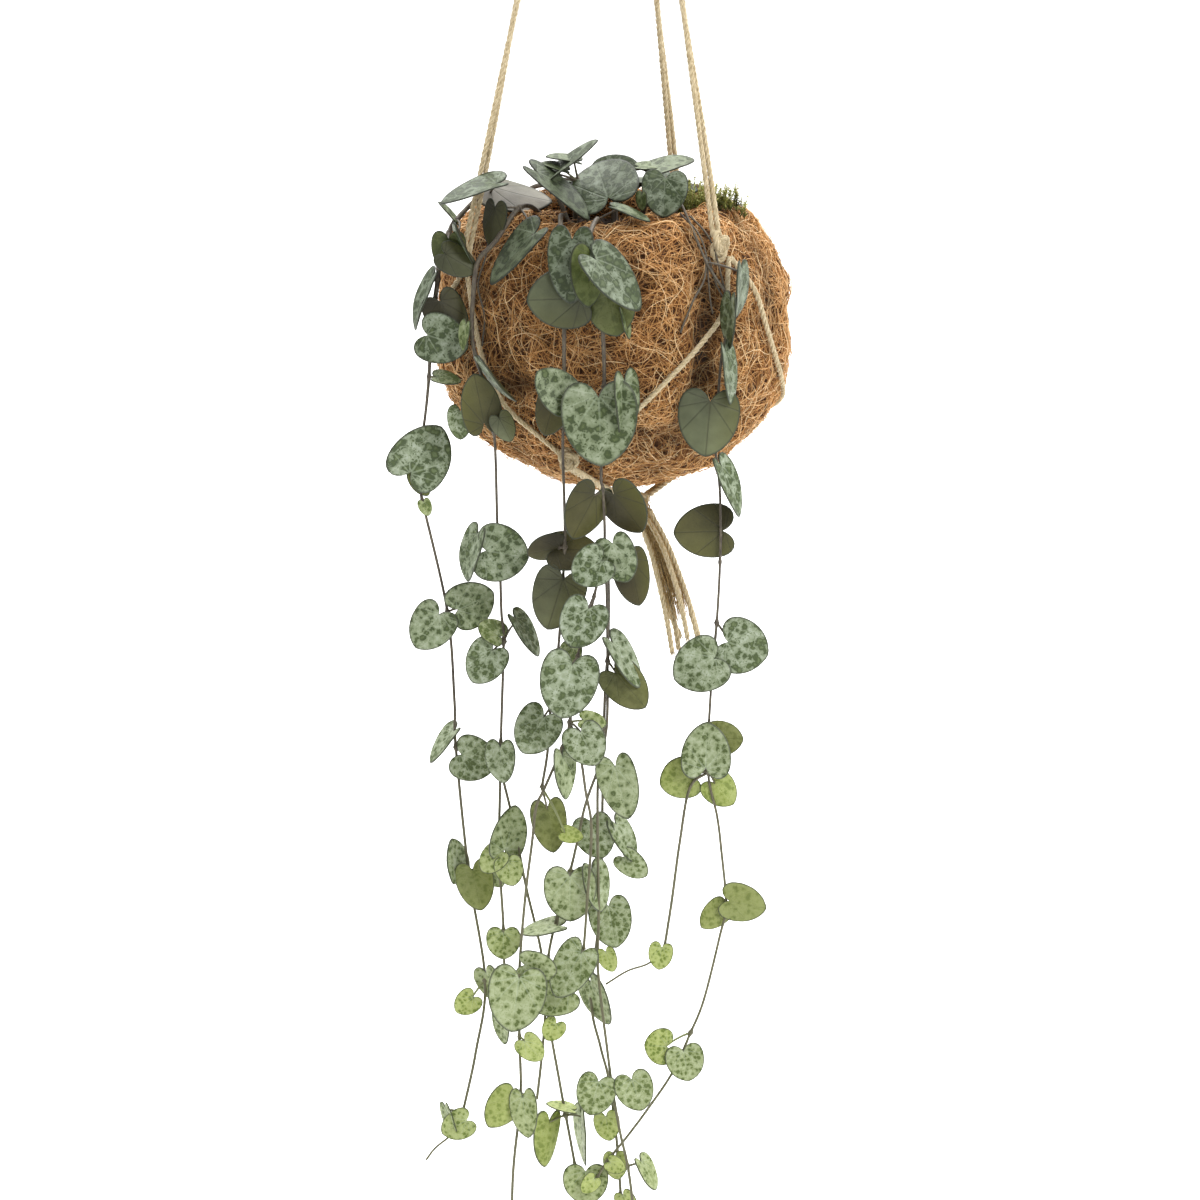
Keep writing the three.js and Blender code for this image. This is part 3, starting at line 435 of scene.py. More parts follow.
def lumps(az, run, p):
    """How far the matted fibre stands off the solid's face, in mm, and a 0 to 1 amount of painted shade: more
    deep in its folds, on the left under the thick leaves and below the front of the rim.
    """
    off = (az + 180) % 360 - 180
    z = p[..., 2]
    fold = (
        2.9 * bell(off, PLEAT_AZ + 0.2 * (z - 5), 5.4) * bell(z, 4, 32)
        + 2.6 * bell(off, -36, 17) * bell(z, -10 + 0.12 * (off + 36), 4.0)
        + 1.7 * bell(off, 4, 12) * bell(z, -24 - 0.3 * off, 3.5)
        + 1.5 * bell(off, 66, 5) * bell(z, 18, 26)
        + 1.6 * bell(off, 12 - 0.2 * z, 4) * bell(z, 26, 16)
    )
    round_rim = np.radians(off)
    gathers = 0.9 * np.sin(round_rim * 17 + 1.5 * np.sin(round_rim * 5)) * bell(run, RIM_RUN - 8, 13)
    bulge = 1.5 * bell(off, -14, 24) * bell(z, 6, 12) + 1.3 * bell(off, 20, 9) * bell(z, 8, 26)
    rough = 0.55 * BIG_LUMPS(p) + 0.5 * MID_LUMPS(p) + 0.32 * SMALL_LUMPS(p)
    sag = 2.6 * bell(off, 88, 30) * bell(z, 44, 17) + 1.0 * bell(off, 88, 24) * bell(z, 8, 26)
    high = np.maximum(bulge + rough + gathers - fold - sag, DEEPEST)
    # Painted shade: darker deep in the folds, on the left under the thick leaves, and in a band below the
    # front of the rim.
    painted_shade = 0.4 * bell(off, -60, 26) * bell(z, 8, 34) + 0.35 * bell(off, -10, 24) * bell(z, 40, 6)
    return high, np.clip((fold - 0.6 * rough - 0.4 * bulge) / 2.6 + painted_shade, 0, 1)


def matted(az, run, reach=0.4):
    """The place, outward direction and amount of painted shade, from fold depth and the leaves, on the lumpy
    wrap.
    """
    p = plain_ball(az, run)
    along = plain_ball(az, run + reach) - plain_ball(az, run - reach)
    aside = plain_ball(az + reach, run) - plain_ball(az - reach, run)
    n = unit(np.cross(aside, along))
    high, deep = lumps(az, run, p)
    return p + n * (high - BEDDING)[..., None], n, deep


# %% [markdown]
# ## Coconut fibre
# Coir is stiff, curly and golden brown, each hair 0.1 to 0.4 mm thick. A bump map alone would look like bark,
# so the mat is built from real strands: a dark felt under it, then thousands of curled fibres that lie on
# the lumps and cross each other, darker ones below and paler ones on top. They are drawn fewer and at the
# thick end of the real size, so that they show. About 1500 loose hairs stand off the outline, and 1100 torn
# ends lean in over the mouth. Every fibre carries its own tone. The felt's dark brown and the darker tones of
# the lower fibres and the torn ends are painted shade. So is the dark brown mixed in the folds, on the left
# under the thick leaves and below the front of the rim.

# %% Coir finishes
def paint_coir(tree, stops):
    tone, deep = (add(tree, "Attribute", out="Fac", attribute_name=name) for name in ("tone", "deep"))
    patches = add(tree, "TexNoise", {"Scale": 70, "Detail": 2})
    shift = add(tree, "Math", {0: patches, 1: 0.55, 2: -0.27}, operation="MULTIPLY_ADD")
    straw = add(tree, "ValToRGB", {0: add(tree, "Math", {0: tone, 1: shift}, operation="ADD")}, stops)
    # Painted shade: `deep` mixes in dark brown, in the folds and under the leaves.
    return add(tree, "Mix", {0: deep, 6: straw, 7: "#321e0e"}, **MIX), None


def paint_felt(tree, stops):
    fibres = add(tree, "TexNoise", {"Scale": 900, "Detail": 4, "Distortion": 1.5})
    return add(tree, "ValToRGB", {0: fibres}, stops), fibres


COIR_TONES = {0.0: "#4a2e16", 0.2: "#8a5c30", 0.45: "#bb874d", 0.7: "#d6a66d", 0.92: "#ebca9a"}
# The felt's dark brown is painted shade, the shade deep in the mat under the fibres.
FELT_TONES = {0.35: "#2c190b", 0.5: "#553419", 0.66: "#7d5228"}
COIR = finish("coconut_fibre", 0.72, paint_coir, COIR_TONES, specular=0.35)
FELT = finish("needled_coir_felt", 0.95, paint_felt, FELT_TONES, (0.9, 0.0006))

# %% Make the felt under the fibres
FELT_ROUND, FELT_UP = 200, 130
az_steps = np.arange(FELT_ROUND) * 360 / FELT_ROUND
felt_place, felt_normal, _ = matted(
    *np.meshgrid(az_steps, np.linspace(0.3, OUTLINE_RUN[-1], FELT_UP), indexing="ij")
)
felt_place -= felt_normal * 0.5
index = np.arange(FELT_ROUND * FELT_UP).reshape(FELT_ROUND, FELT_UP)
right = np.roll(index, -1, 0)
quads = np.stack([index[:, :-1], right[:, :-1], right[:, 1:], index[:, 1:]], axis=-1)
felt_faces = quads.reshape(-1, 4).tolist()
felt_faces.append(index[::-1, 0].tolist())
add_piece("coir_felt", felt_place.reshape(-1, 3), felt_faces, {}, "coir", FELT, ["coir_wrap"])


# %% Curly ways over the wrap
def spread_over_ball(draw, count):
    """Random places on the wrap, even by area."""
    run = np.linspace(1, OUTLINE_RUN[-1] - 1, 400)
    weight = np.cumsum(outline_reach(run) + 1.5)
    return draw.uniform(0, 360, count), np.interp(draw.uniform(0, weight[-1], count), weight, run)


def crawl(draw, count, places, step, curl):
    """Curly ways over the wrap: azimuths and outline lengths, each (count, places)."""
    az, run = spread_over_ball(draw, count)
    heading = draw.uniform(0, 2 * np.pi, count)
    bend = draw.normal(0, curl, count)
    wave, start = draw.uniform(0.35, 1.1, count), draw.uniform(0, 6.28, count)
    swing = draw.uniform(0.05, 0.6, count)
    ways = []
    for i in range(places):
        ways.append((az, run))
        way = heading + bend * i + swing * np.sin(wave * i + start)
        az = az + np.degrees(step * np.cos(way) / np.maximum(outline_reach(run), 6))
        run = np.clip(run + step * np.sin(way), 0.5, OUTLINE_RUN[-1] - 0.5)
    return np.stack(ways, axis=-1)


def coir_piece(name, lines, refs, radii, tone, deep):
    """One piece of fibres. Each has its own tone, and `deep` tells how much painted shade each place gets."""
    verts, faces, which = tubes(lines, refs, radii)
    deep = np.repeat(np.broadcast_to(deep, lines.shape[:2]), 3)
    facts = {"tone": np.clip(tone, 0, 1)[which], "deep": deep}
    return add_piece(name, verts, faces, facts, "coir", COIR)


# %% Lay the fibres
# How strongly the painted shade darkens the fibres.
FOLD_SHADE = 0.66


def fibre_layer(name, seed, count, step, thick, low, high, pale):
    """One bundle of fibres that lie between `low` and `high` mm off the matted face."""
    draw = np.random.default_rng(seed)
    places = 10
    az, run = crawl(draw, count, places, step * draw.uniform(0.7, 1.3, count), 0.07)
    p, n, deep = matted(az, run)
    t = np.linspace(0, 1, places)
    height = draw.uniform(low, high, (count, 1)) * np.sin(np.pi * t) ** 0.7 + 0.1
    height = height + 0.22 * np.sin(draw.uniform(1, 3, (count, 1)) * 6 * t + draw.uniform(0, 6, (count, 1)))
    radii = draw.uniform(*thick, (count, 1)) * (1 - 0.55 * np.abs(2 * t - 1) ** 3)
    coir_piece(name, p + n * height[..., None], n, radii, draw.normal(pale, 0.17, count), FOLD_SHADE * deep)


# The lower layers have darker tones, painted shade deep in the mat; each fibre's tone also varies at random.
fibre_layer("coir_fibres_under", 101, 3600, 2.0, (0.17, 0.26), -0.1, 0.5, 0.12)
fibre_layer("coir_fibres_middle", 102, 3600, 2.1, (0.15, 0.22), 0.1, 0.8, 0.3)
fibre_layer("coir_fibres_over", 103, 3600, 2.1, (0.13, 0.20), 0.2, 1.1, 0.48)
fibre_layer("coir_fibres_top", 104, 2600, 2.2, (0.12, 0.19), 0.3, 1.5, 0.62)
fibre_layer("coir_fibres_pale", 105, 1900, 2.3, (0.11, 0.18), 0.5, 2.0, 0.78)


# %% Loose hairs off the outline, and torn ends at the mouth
def loose_hairs(name, seed, count, places=9):
    draw = np.random.default_rng(seed)
    az, run = crawl(draw, count, places, 1.5, 0.16)
    p, n, _ = matted(az, run)
    t = np.linspace(0, 1, places)
    lift = draw.uniform(0.6, 1, (count, 1)) * draw.choice([2.0, 3.2, 5.0], (count, 1), p=[0.6, 0.3, 0.1])
    lines = p + n * (lift * np.sin(np.pi * np.minimum(t * draw.uniform(0.5, 1, (count, 1)), 1)))[..., None]
    radii = draw.uniform(0.07, 0.12, (count, 1)) * (1 - 0.4 * t)
    coir_piece(name, lines, n, radii, draw.normal(0.6, 0.15, count), 0)


def mouth_fringe(name, seed, count, places=8):
    """Torn ends of the mat that lean in over the soil."""
    draw = np.random.default_rng(seed)
    az = draw.uniform(0, 360, (count, 1))
    t = np.linspace(0, 1, places)
    run = np.repeat(RIM_RUN - draw.uniform(0, 9, (count, 1)), places, axis=1)
    p, n, _ = matted(az + draw.normal(0, 9, (count, 1)) * t, run)
    reach = draw.uniform(4, 15, (count, 1)) * t
    sag = draw.uniform(-0.5, 3.5, (count, 1)) * t**2
    lines = p + unit(-p * [1, 1, 0]) * reach[..., None] - np.array([0, 0, 1.0]) * sag[..., None] + n * 0.3
    lines = lines + draw.normal(0, 0.25, (count, places, 3))
    radii = draw.uniform(0.1, 0.18, (count, 1)) * (1 - 0.4 * t)
    # The torn ends get darker tones and a fifth of the painted shade, for the shade in the mouth under the
    # leaves.
    coir_piece(name, lines, n, radii, draw.normal(0.38, 0.2, count), 0.2)


loose_hairs("coir_loose_hairs", 106, 1500)
mouth_fringe("coir_mouth_fringe", 109, 1100)

# %% [markdown]
# ## Soil
# Under the leaves the mouth shows dark potting mix: peat crumbs and bits of bark. The solid already has the
# right form and its holes for the stems, so it only gets a finish, and a scatter of small crumbs on its top.
# Each crumb is a twenty-sided stone with its corners moved about.

# %% Soil finish and crumbs
def paint_soil(tree, stops):
    clods = add(tree, "TexVoronoi", {"Scale": 420})
    dust = add(tree, "TexNoise", {"Scale": 700, "Detail": 4})
    both = add(tree, "Math", {0: clods, 1: dust}, operation="MULTIPLY")
    return add(tree, "ValToRGB", {0: both}, stops), both


SOIL_TONES = {0.1: "#2a1d13", 0.3: "#4a3626", 0.6: "#6f563f"}
SOIL = finish("peat_potting_mix", 0.95, paint_soil, SOIL_TONES, (1.0, 0.0012))
SOIL_TOP = 42.2
for socket in bpy.data.objects["soil_ball"].material_slots:
    socket.material = SOIL

g = (1 + 5**0.5) / 2  # the golden ratio, which places the twelve corners
STONE = unit(np.array([
    [-1, g, 0], [1, g, 0], [-1, -g, 0], [1, -g, 0], [0, -1, g], [0, 1, g],
    [0, -1, -g], [0, 1, -g], [g, 0, -1], [g, 0, 1], [-g, 0, -1], [-g, 0, 1],
], float))
FACETS = np.array([
    [0, 11, 5], [0, 5, 1], [0, 1, 7], [0, 7, 10], [0, 10, 11], [1, 5, 9], [5, 11, 4], [11, 10, 2],
    [10, 7, 6], [7, 1, 8], [3, 9, 4], [3, 4, 2], [3, 2, 6], [3, 6, 8], [3, 8, 9], [4, 9, 5],
    [2, 4, 11], [6, 2, 10], [8, 6, 7], [9, 8, 1],
])


def crumbs(name, seed, count):
    draw = np.random.default_rng(seed)
    r = 39 * np.sqrt(draw.uniform(0, 1, count))
    az = draw.uniform(0, 2 * np.pi, count)
    size = draw.uniform(0.5, 1.9, count)
    height = SOIL_TOP - 0.03 * r + 0.2 * size
    centre = np.stack([r * np.sin(az), -r * np.cos(az) * BALL_DEPTH, height], axis=1)
    jitter = draw.uniform(0.6, 1.3, (count, 12, 1)) * draw.uniform(0.6, 1.2, (count, 1, 3))
    verts = centre[:, None, :] + STONE * jitter * size[:, None, None]
    faces = (FACETS[None] + 12 * np.arange(count)[:, None, None]).reshape(-1, 3).tolist()
    add_piece(name, verts.reshape(-1, 3), faces, {}, "soil", SOIL)


crumbs("soil_crumbs", 31, 900)

# %% [markdown]
# ## The hanger
# Three doubled legs carry the ball. Each ends in a tight knot at the ball's shoulder, and from there single
# strands go on over the fibre to three lower knots and, in pairs again, to the bottom knot. A knot can't be
# faked with a ball of noise: here the twine really follows a knotted way, twice, as the doubled cord does.

# %% Places of the legs, the net and the knots, as in the solids
LOOP_H = 34
KNOT_H = 12
GAP = 0.3
KNOT_FOOT = HANG - LOOP_H - 1 - GAP - KNOT_H
SIDE_KNOTS = {
    "right": {"knot": [38.2, -44.3, 40.6], "foot": [36.5, -43.9, 46.6]},
    "left": {"knot": [-54, -34.7, 34.6], "foot": [-52.9, -34.5, 40.5]},
    "back": {"knot": [24.6, 56.5, 35.6], "foot": [24.2, 55.9, 41.4]},
}
LEG_HEADS = {"right": [1.2, -1.1], "left": [-2.6, -1.1], "back": [-0.7, 2.1]}
LOW_KNOTS = {
    "front": on_ball(-19, -37, 4.2),
    "right": on_ball(128, -34, 4.7),
    "left": on_ball(-135, -36, 3.7),
}
BOTTOM = np.array([7.6, -4, -57.5])
NET = {
    # azimuth and height of each strand's places, from its side knot down
    "net_right_front": [[41.2, 34.4], [37, 18], [28, 6.5], [18, -4.5], [8.8, -15.5], [0, -24], [-12, -33]],
    "net_right_back": [[44, 34.6], [52, 24], [57, 12], [63, 0], [71, -10], [86, -19], [104, -26], [122, -31]],
    "net_left_front": [[-55.3, 28.6], [-50, 12], [-45, -4], [-39, -18], [-27, -31]],
    "net_left_back": [[-59.3, 28.6], [-74, 14], [-88, 0], [-104, -14], [-116, -23], [-127.5, -30]],
    "net_back_right": [[155.4, 30.4], [148, 14], [142, 0], [137, -14], [131, -27]],
    "net_back_left": [[158.3, 29.6], [176, 14], [192, 0], [206, -14], [214, -23], [221, -30]],
}
PAIR_ENDS = {"front": [4.2, 4.4, 3.9], "right": [4.2, 3, 4.5], "left": [4, 3, 4.8]}


def strand_piece(name, lines, radius=TWINE_R, pitch=TWINE_PITCH):
    """One piece of several strands, whose lines are kept for the stray hairs."""
    TWINE_LINES.extend(lines)
    parts = [twine(line, radius, 1.3 * i, pitch) for i, line in enumerate(lines)]
    add_piece("jute_" + name, *gather(parts), "jute", JUTE, [name])


def lengthened(line, at_start, at_end):
    """The line with both ends carried on straight, into the knots."""
    first = line[0] + unit(line[0] - line[2]) * at_start
    last = line[-1] + unit(line[-1] - line[-3]) * at_end
    return even_line(np.vstack([first, line, last]))


# %% Make the legs
def doubled(start, end, turns, spread):
    """Two strands that wind slowly round each other from start to end."""
    start, end = np.array(start, float), np.array(end, float)
    along = unit(end - start)
    u = unit(np.cross([0, 1, 0], along))
    w = np.cross(along, u)
    t = np.linspace(0, 1, 300)[:, None]
    for begin in (0, np.pi):
        turn = begin + 2 * np.pi * turns * t
        sway = 0.25 * np.sin(9 * t + begin)
        yield even_line(start + (end - start) * t + (spread + sway) * (u * np.cos(turn) + w * np.sin(turn)))


for name, places in SIDE_KNOTS.items():
    pair = doubled(places["foot"], LEG_HEADS[name] + [KNOT_FOOT - 0.7], 0.8, 1.02 * TWINE_R)
    strand_piece(f"leg_{name}", [lengthened(line, 2.5, 3.0) for line in pair])


# %% Make the net over the ball
def onto_fibre(line, clear):
    """Moves a strand's line out to where the lumpy fibre holds it."""
    az = np.degrees(np.arctan2(line[:, 0], -line[:, 1] / BALL_DEPTH))
    run = np.interp(line[:, 2], OUTLINE[:OUTSIDE, 1], OUTLINE_RUN[:OUTSIDE])
    place, out, _ = matted(az, run)
    short = np.clip(clear - ((line - place) * out).sum(1), 0, None)
    short = np.convolve(np.pad(short, 5, mode="edge"), np.ones(11) / 11, mode="valid")
    return line + out * short[:, None]


for name, stops in NET.items():
    line = smooth_line([on_ball(az, z, TWINE_R + 0.75) for az, z in stops])
    strand_piece(name, [lengthened(onto_fibre(line, 1.3), 2.5, 6.0)])

for name, start in LOW_KNOTS.items():
    flat = unit((BOTTOM - start) * [1, 1, 0])
    from_knot, drop, to_bottom = PAIR_ENDS[name]
    a = np.array(start) + flat * from_knot - [0, 0, drop]
    b = BOTTOM - flat * to_bottom
    mid = (a + b) / 2
    mid[2] = -BALL_LOW * math.sqrt(1 - (mid[0] / BALL_R) ** 2 - (mid[1] / (BALL_R * BALL_DEPTH)) ** 2) - 2.3
    side = np.array([-flat[1], flat[0], 0]) * TWINE_R
    lines = [smooth_line([p + side * hand for p in (a, mid, b)]) for hand in (1, -1)]
    strand_piece(f"base_pair_{name}", [lengthened(line, 4, 3) for line in lines])


# %% Tie the knots
KNOT_TWINE_R = 1.05


def knot_line(place, spin, tall, wide, radius):
    """A closed knotted way round a place, flat side to the ball at the azimuth `spin`."""
    u = np.linspace(0, 4 * np.pi, 220)
    reach = radius * (2 + np.cos(1.5 * u)) * 0.5
    x, z = wide * reach * np.cos(u), tall * reach * np.sin(u)
    y = -0.95 * radius * np.sin(1.5 * u) * 0.5
    c, s = math.cos(math.radians(spin)), math.sin(math.radians(spin))
    return even_line(np.stack([x * c - y * s, x * s + y * c, z], axis=1) + place, 0.6)


def tie(name, place, tall=1.0, wide=0.9, spin=None):
    spin = math.degrees(math.atan2(place[0], -place[1])) if spin is None else spin
    outer = knot_line(place, spin, tall, wide, 2.5)
    inner = knot_line(place, spin + 12, 0.85 * tall, 0.9 * wide, 1.6)
    strand_piece(name, [outer, inner], KNOT_TWINE_R)


for name, places in SIDE_KNOTS.items():
    tie(f"side_knot_{name}", places["knot"], 1.45)
for name, place in LOW_KNOTS.items():
    tie(f"low_knot_{name}", place)
tie("bottom_knot", BOTTOM, 0.85, 1.25, spin=0)


# %% Make the hanging loop and the wrapped knot
LOOP_LOW = HANG - LOOP_H - 0.6
WRAP_TURNS, WRAP_R = 5.6, 3.4
loop_half = [[1.7, 0, LOOP_LOW], [4.5, 0, LOOP_LOW + 8], [8.5, 0, LOOP_LOW + 20], [6.2, 0, HANG - 2.6]]
loop_way = [[-x, y, z] for x, y, z in loop_half] + [[0, 0, HANG + 1]] + loop_half[::-1]
strand_piece("hang_loop", [lengthened(smooth_line(loop_way), 4, 4)], 1.35, 9)
turns = np.linspace(0, 2 * np.pi * WRAP_TURNS, 400)
rise = np.linspace(KNOT_FOOT + 0.8, KNOT_FOOT + KNOT_H - 0.8, 400)
coil = np.stack([WRAP_R * np.cos(turns), WRAP_R * np.sin(turns), rise], axis=1)
strand_piece("top_knot", [even_line(coil)], KNOT_TWINE_R)

# %% [markdown]
# ## Loose fibre of the jute
# Twine sheds short hairs all along, its cut ends fray, and inside the tassel much of it has come unspun.
# Each kind is one bundle of thin tubes, drawn thicker than real bast so that they show. The unspun fibre runs
# between the tails: every strand of it keeps its own shares of the six tails' lines, and starts at the
# bottom knot or a little below.


# %% Add the stray hairs of the jute
def jute_piece(name, lines, refs, radii, material, stretch):
    verts, faces, _ = tubes(lines, refs, radii)
    add_piece(name, verts, faces, {"ply": verts * stretch}, "jute", material)


def jute_hairs(name, seed, per_mm, longest, places=5):
    """Short bast hairs that stand off every strand."""
    draw = np.random.default_rng(seed)
    roots = []
    for line in TWINE_LINES:
        tangent, across, up = line_frames(line)
        count = max(2, int(per_mm * STRAND_STEP * len(line)))
        at = draw.integers(0, len(line), count)
        turn = draw.uniform(0, 2 * np.pi, (count, 1))
        out = np.cos(turn) * across[at] + np.sin(turn) * up[at]
        way = unit(tangent[at] * draw.choice([-1, 1], (count, 1)) + 0.8 * np.cross(tangent[at], out))
        roots.append([line[at] + 0.75 * out, out, way])
    base, out, way = np.concatenate(roots, axis=1)[:, :, None]
    count = len(base)
    t = np.linspace(0, 1, places)
    reach = longest * draw.uniform(0.3, 1, (count, 1)) ** 1.5
    rise = reach * draw.uniform(0.2, 0.9, (count, 1)) * t**1.3
    ahead = reach * draw.uniform(0.6, 1.1, (count, 1)) * t
    lines = base + out * rise[..., None] + way * ahead[..., None]
    lines += draw.normal(0, 0.08, (count, places, 3)) * t[:, None]
    jute_piece(name, lines, np.cross(way, out), 0.065 * (1 - 0.5 * t), JUTE, [0.3, 1, 1])


jute_hairs("jute_stray_hairs", 41, 1.8, 2.6)


# %% Fray the tassel's ends and fill it with loose fibre
ASKEW = [0.3, 1.0, 0.2]  # a direction along no fibre, to turn each fibre's three sides by
CROSSWISE = [1, 1, 0.3]


def frayed_ends(name, seed, per_end, places=6):
    draw = np.random.default_rng(seed)
    t = np.linspace(0, 1, places)
    lines = []
    for line in TAIL_LINES:
        way = unit(line[-1] - line[-4])
        for _ in range(per_end):
            spread = draw.normal(0, 0.45, 3)
            start = line[-5] + 0.5 * unit(draw.normal(0, 1, 3))
            length = draw.uniform(3.5, 5.5)
            lines.append(start + way * length * t[:, None] + spread * (t[:, None] ** 2) * 1.6)
    jute_piece(name, np.array(lines), ASKEW, 0.14 * (1 - 0.4 * t), JUTE, CROSSWISE)


def tassel_fibre(name, seed, count, places=12):
    """Untwisted fibre that runs down between the tails from the bottom knot."""
    draw = np.random.default_rng(seed)
    marks, last = 24, 62  # places kept on each tail, down to 43 mm below the knot
    tails = np.array([line[np.linspace(0, last, marks).astype(int)] for line in TAIL_LINES])
    t = np.linspace(0, 1, places)
    share = draw.dirichlet(np.full(len(tails), 0.35), count)
    start = draw.uniform(0, 12, count) * (draw.uniform(0, 1, count) < 0.4)
    at = np.clip(start[:, None] + draw.uniform(7, 15, count)[:, None] * t, 0, marks - 1)
    low = np.floor(at).astype(int)
    part = (at - low)[..., None]
    ways = np.einsum("ct,tpk->cpk", share, tails)
    rows = np.arange(count)[:, None]
    lines = ways[rows, low] * (1 - part) + ways[rows, np.minimum(low + 1, marks - 1)] * part
    knot = BOTTOM + draw.normal(0, 1, (count, 3)) * [2.6, 1.8, 1.2]
    pull = (np.clip(1 - at / 2.5, 0, 1) ** 1.5)[..., None]
    lines = lines * (1 - pull) + knot[:, None] * pull
    lines += draw.normal(0, 0.75, (count, 1, 3)) * [1, 1, 0.2] + draw.normal(0, 0.12, lines.shape)
    jute_piece(name, lines, ASKEW, 0.15 * (1 - 0.4 * t), BAST, CROSSWISE)


frayed_ends("jute_frayed_ends", 43, 22)
tassel_fibre("jute_tassel_fibre", 44, 640)

# %% [markdown]
# ## Leaves of string of hearts
# Each leaf is a thick little heart, 8 to 27 mm long, slightly folded along its midrib. The upper face is
# silver over dark green: pale between the veins, with rounded dark blotches and a thin dark rim. The
# underside is plain olive, brown or grey mauve, with darker veins, and light shines lime green through the
# youngest leaves. The blade carries its own millimetre coordinates, so that its blotches are about 3 mm
# across, a little larger on large leaves and smaller low on the stems, where the leaves are younger.

# %% Leaf and stem finishes
def paint_leaf(tree, stops):
    blade, heart, look = (
        add(tree, "Attribute", out="Vector", attribute_name=name) for name in ("blade", "heart", "look")
    )
    dense, age = (add(tree, "Attribute", out="Fac", attribute_name=name) for name in ("dense", "age"))
    across, along, near_rim = add(tree, "SeparateXYZ", {0: heart}).node.outputs
    upper, young, tone = add(tree, "SeparateXYZ", {0: look}).node.outputs

    # Blotches about 3 mm across with bent edges, and speckles of 1 mm between them.
    warp = add(tree, "TexNoise", {"Vector": blade, "Scale": 0.5, "Detail": 3}, out="Color")
    bend = add(tree, "VectorMath", {0: warp, 1: (3.4, 3.4, 0)}, operation="MULTIPLY")
    bent = add(tree, "VectorMath", {0: blade, 1: bend}, operation="ADD")
    spots = add(tree, "TexVoronoi", {"Vector": bent, "Scale": 0.3, "Randomness": 0.9}, out="Distance")
    dots = add(tree, "TexVoronoi", {"Vector": bent, "Scale": 1.0, "Randomness": 1}, out="Distance")
    broad = add(tree, "TexNoise", {"Vector": blade, "Scale": 0.17, "Detail": 2})
    fine = add(tree, "TexNoise", {"Vector": blade, "Scale": 1.6, "Detail": 3})
    speck = add(tree, "Math", {0: dots, 1: 0.9, 2: 0.22}, operation="MULTIPLY_ADD")
    level = add(tree, "Math", {0: spots, 1: speck}, operation="MINIMUM")
    sway = add(tree, "Math", {0: broad, 1: 0.6, 2: -0.31}, operation="MULTIPLY_ADD")
    grain = add(tree, "Math", {0: fine, 1: 0.24, 2: -0.12}, operation="MULTIPLY_ADD")
    sparse = add(tree, "MapRange", {0: tone, 1: 0.0, 2: 0.9, 3: -0.03, 4: 0.08})
    covered = add(tree, "Math", {0: dense, 1: -0.13, 2: sparse}, operation="MULTIPLY_ADD")
    for part in (sway, grain, covered):
        level = add(tree, "Math", {0: level, 1: part}, operation="ADD")
    marble = add(tree, "ValToRGB", {0: level}, stops["marble"])
    lime = add(tree, "ValToRGB", {0: level}, stops["lime"])
    greener = add(tree, "MapRange", {0: tone, 1: 0.35, 2: 1.0, 3: 0.0, 4: 0.75})
    grassy = add(tree, "Mix", {0: greener, 6: marble, 7: "#e2e5bd"}, **TINT)
    top = add(tree, "Mix", {0: young, 6: grassy, 7: lime}, **MIX)

    # Pale veins run out like a fan from the notch. They fade before the rim, which is thin and dark.
    far = add(tree, "Math", {0: along, 1: 0.03}, operation="ADD")
    angle = add(tree, "Math", {0: across, 1: far}, operation="ARCTAN2")
    fan = add(tree, "Math", {0: angle, 1: 0.62}, operation="DIVIDE")
    nearest = add(tree, "Math", {0: fan}, operation="ROUND")
    aside = add(tree, "Math", {0: fan, 1: nearest}, operation="SUBTRACT")
    off = add(tree, "Math", {0: aside}, operation="ABSOLUTE")
    reach = add(tree, "VectorMath", {0: heart, 1: (1, 1, 0)}, operation="MULTIPLY")
    away = add(tree, "VectorMath", {0: reach}, out="Value", operation="LENGTH")
    wide = add(tree, "Math", {0: off, 1: away}, operation="MULTIPLY")
    vein = add(tree, "MapRange", {0: wide, 1: 0.03, 2: 0.006}, interpolation_type="SMOOTHSTEP")
    fade = add(tree, "MapRange", {0: away, 1: 0.15, 2: 0.8, 3: 0.3, 4: 0.0})
    faint = add(tree, "Math", {0: vein, 1: fade}, operation="MULTIPLY")
    veined = add(tree, "Mix", {0: faint, 6: top, 7: "#adb99f"}, **MIX)
    rim = add(tree, "MapRange", {0: near_rim, 1: 0.925, 2: 0.98, 4: 0.85})

    # The underside: clouded, with darker veins, or lit through in a young leaf. Painted light makes it
    # lighter toward the tip, and lighter and greener to one side.
    under = add(tree, "ValToRGB", {0: tone}, stops["under"])
    cloud = add(tree, "MapRange", {0: broad, 1: 0.3, 2: 0.7, 3: 0.82, 4: 1.18})
    # Painted light: lighter toward the tip.
    painted_tip_light = add(tree, "MapRange", {0: along, 1: 0.0, 2: 0.9, 3: 0.78, 4: 1.5})
    uneven = add(tree, "Math", {0: cloud, 1: painted_tip_light}, operation="MULTIPLY")
    clouded = add(tree, "Mix", {0: 1.0, 6: under, 7: uneven}, **TINT)
    # Painted light: lighter and greener toward one side.
    glow = add(tree, "MapRange", {0: across, 1: -0.1, 2: 0.45, 3: 0.0, 4: 0.45})
    half = add(tree, "Mix", {0: glow, 6: clouded, 7: "#5c5c22"}, **MIX)
    crease = add(tree, "Math", {0: vein, 1: 0.45}, operation="MULTIPLY")
    ribbed = add(tree, "Mix", {0: crease, 6: half, 7: "#2c2b18"}, **MIX)
    through = add(tree, "Mix", {0: 0.6, 6: "#7f8a42", 7: lime}, **MIX)
    olive = add(tree, "Mix", {0: young, 6: ribbed, 7: through}, **MIX)

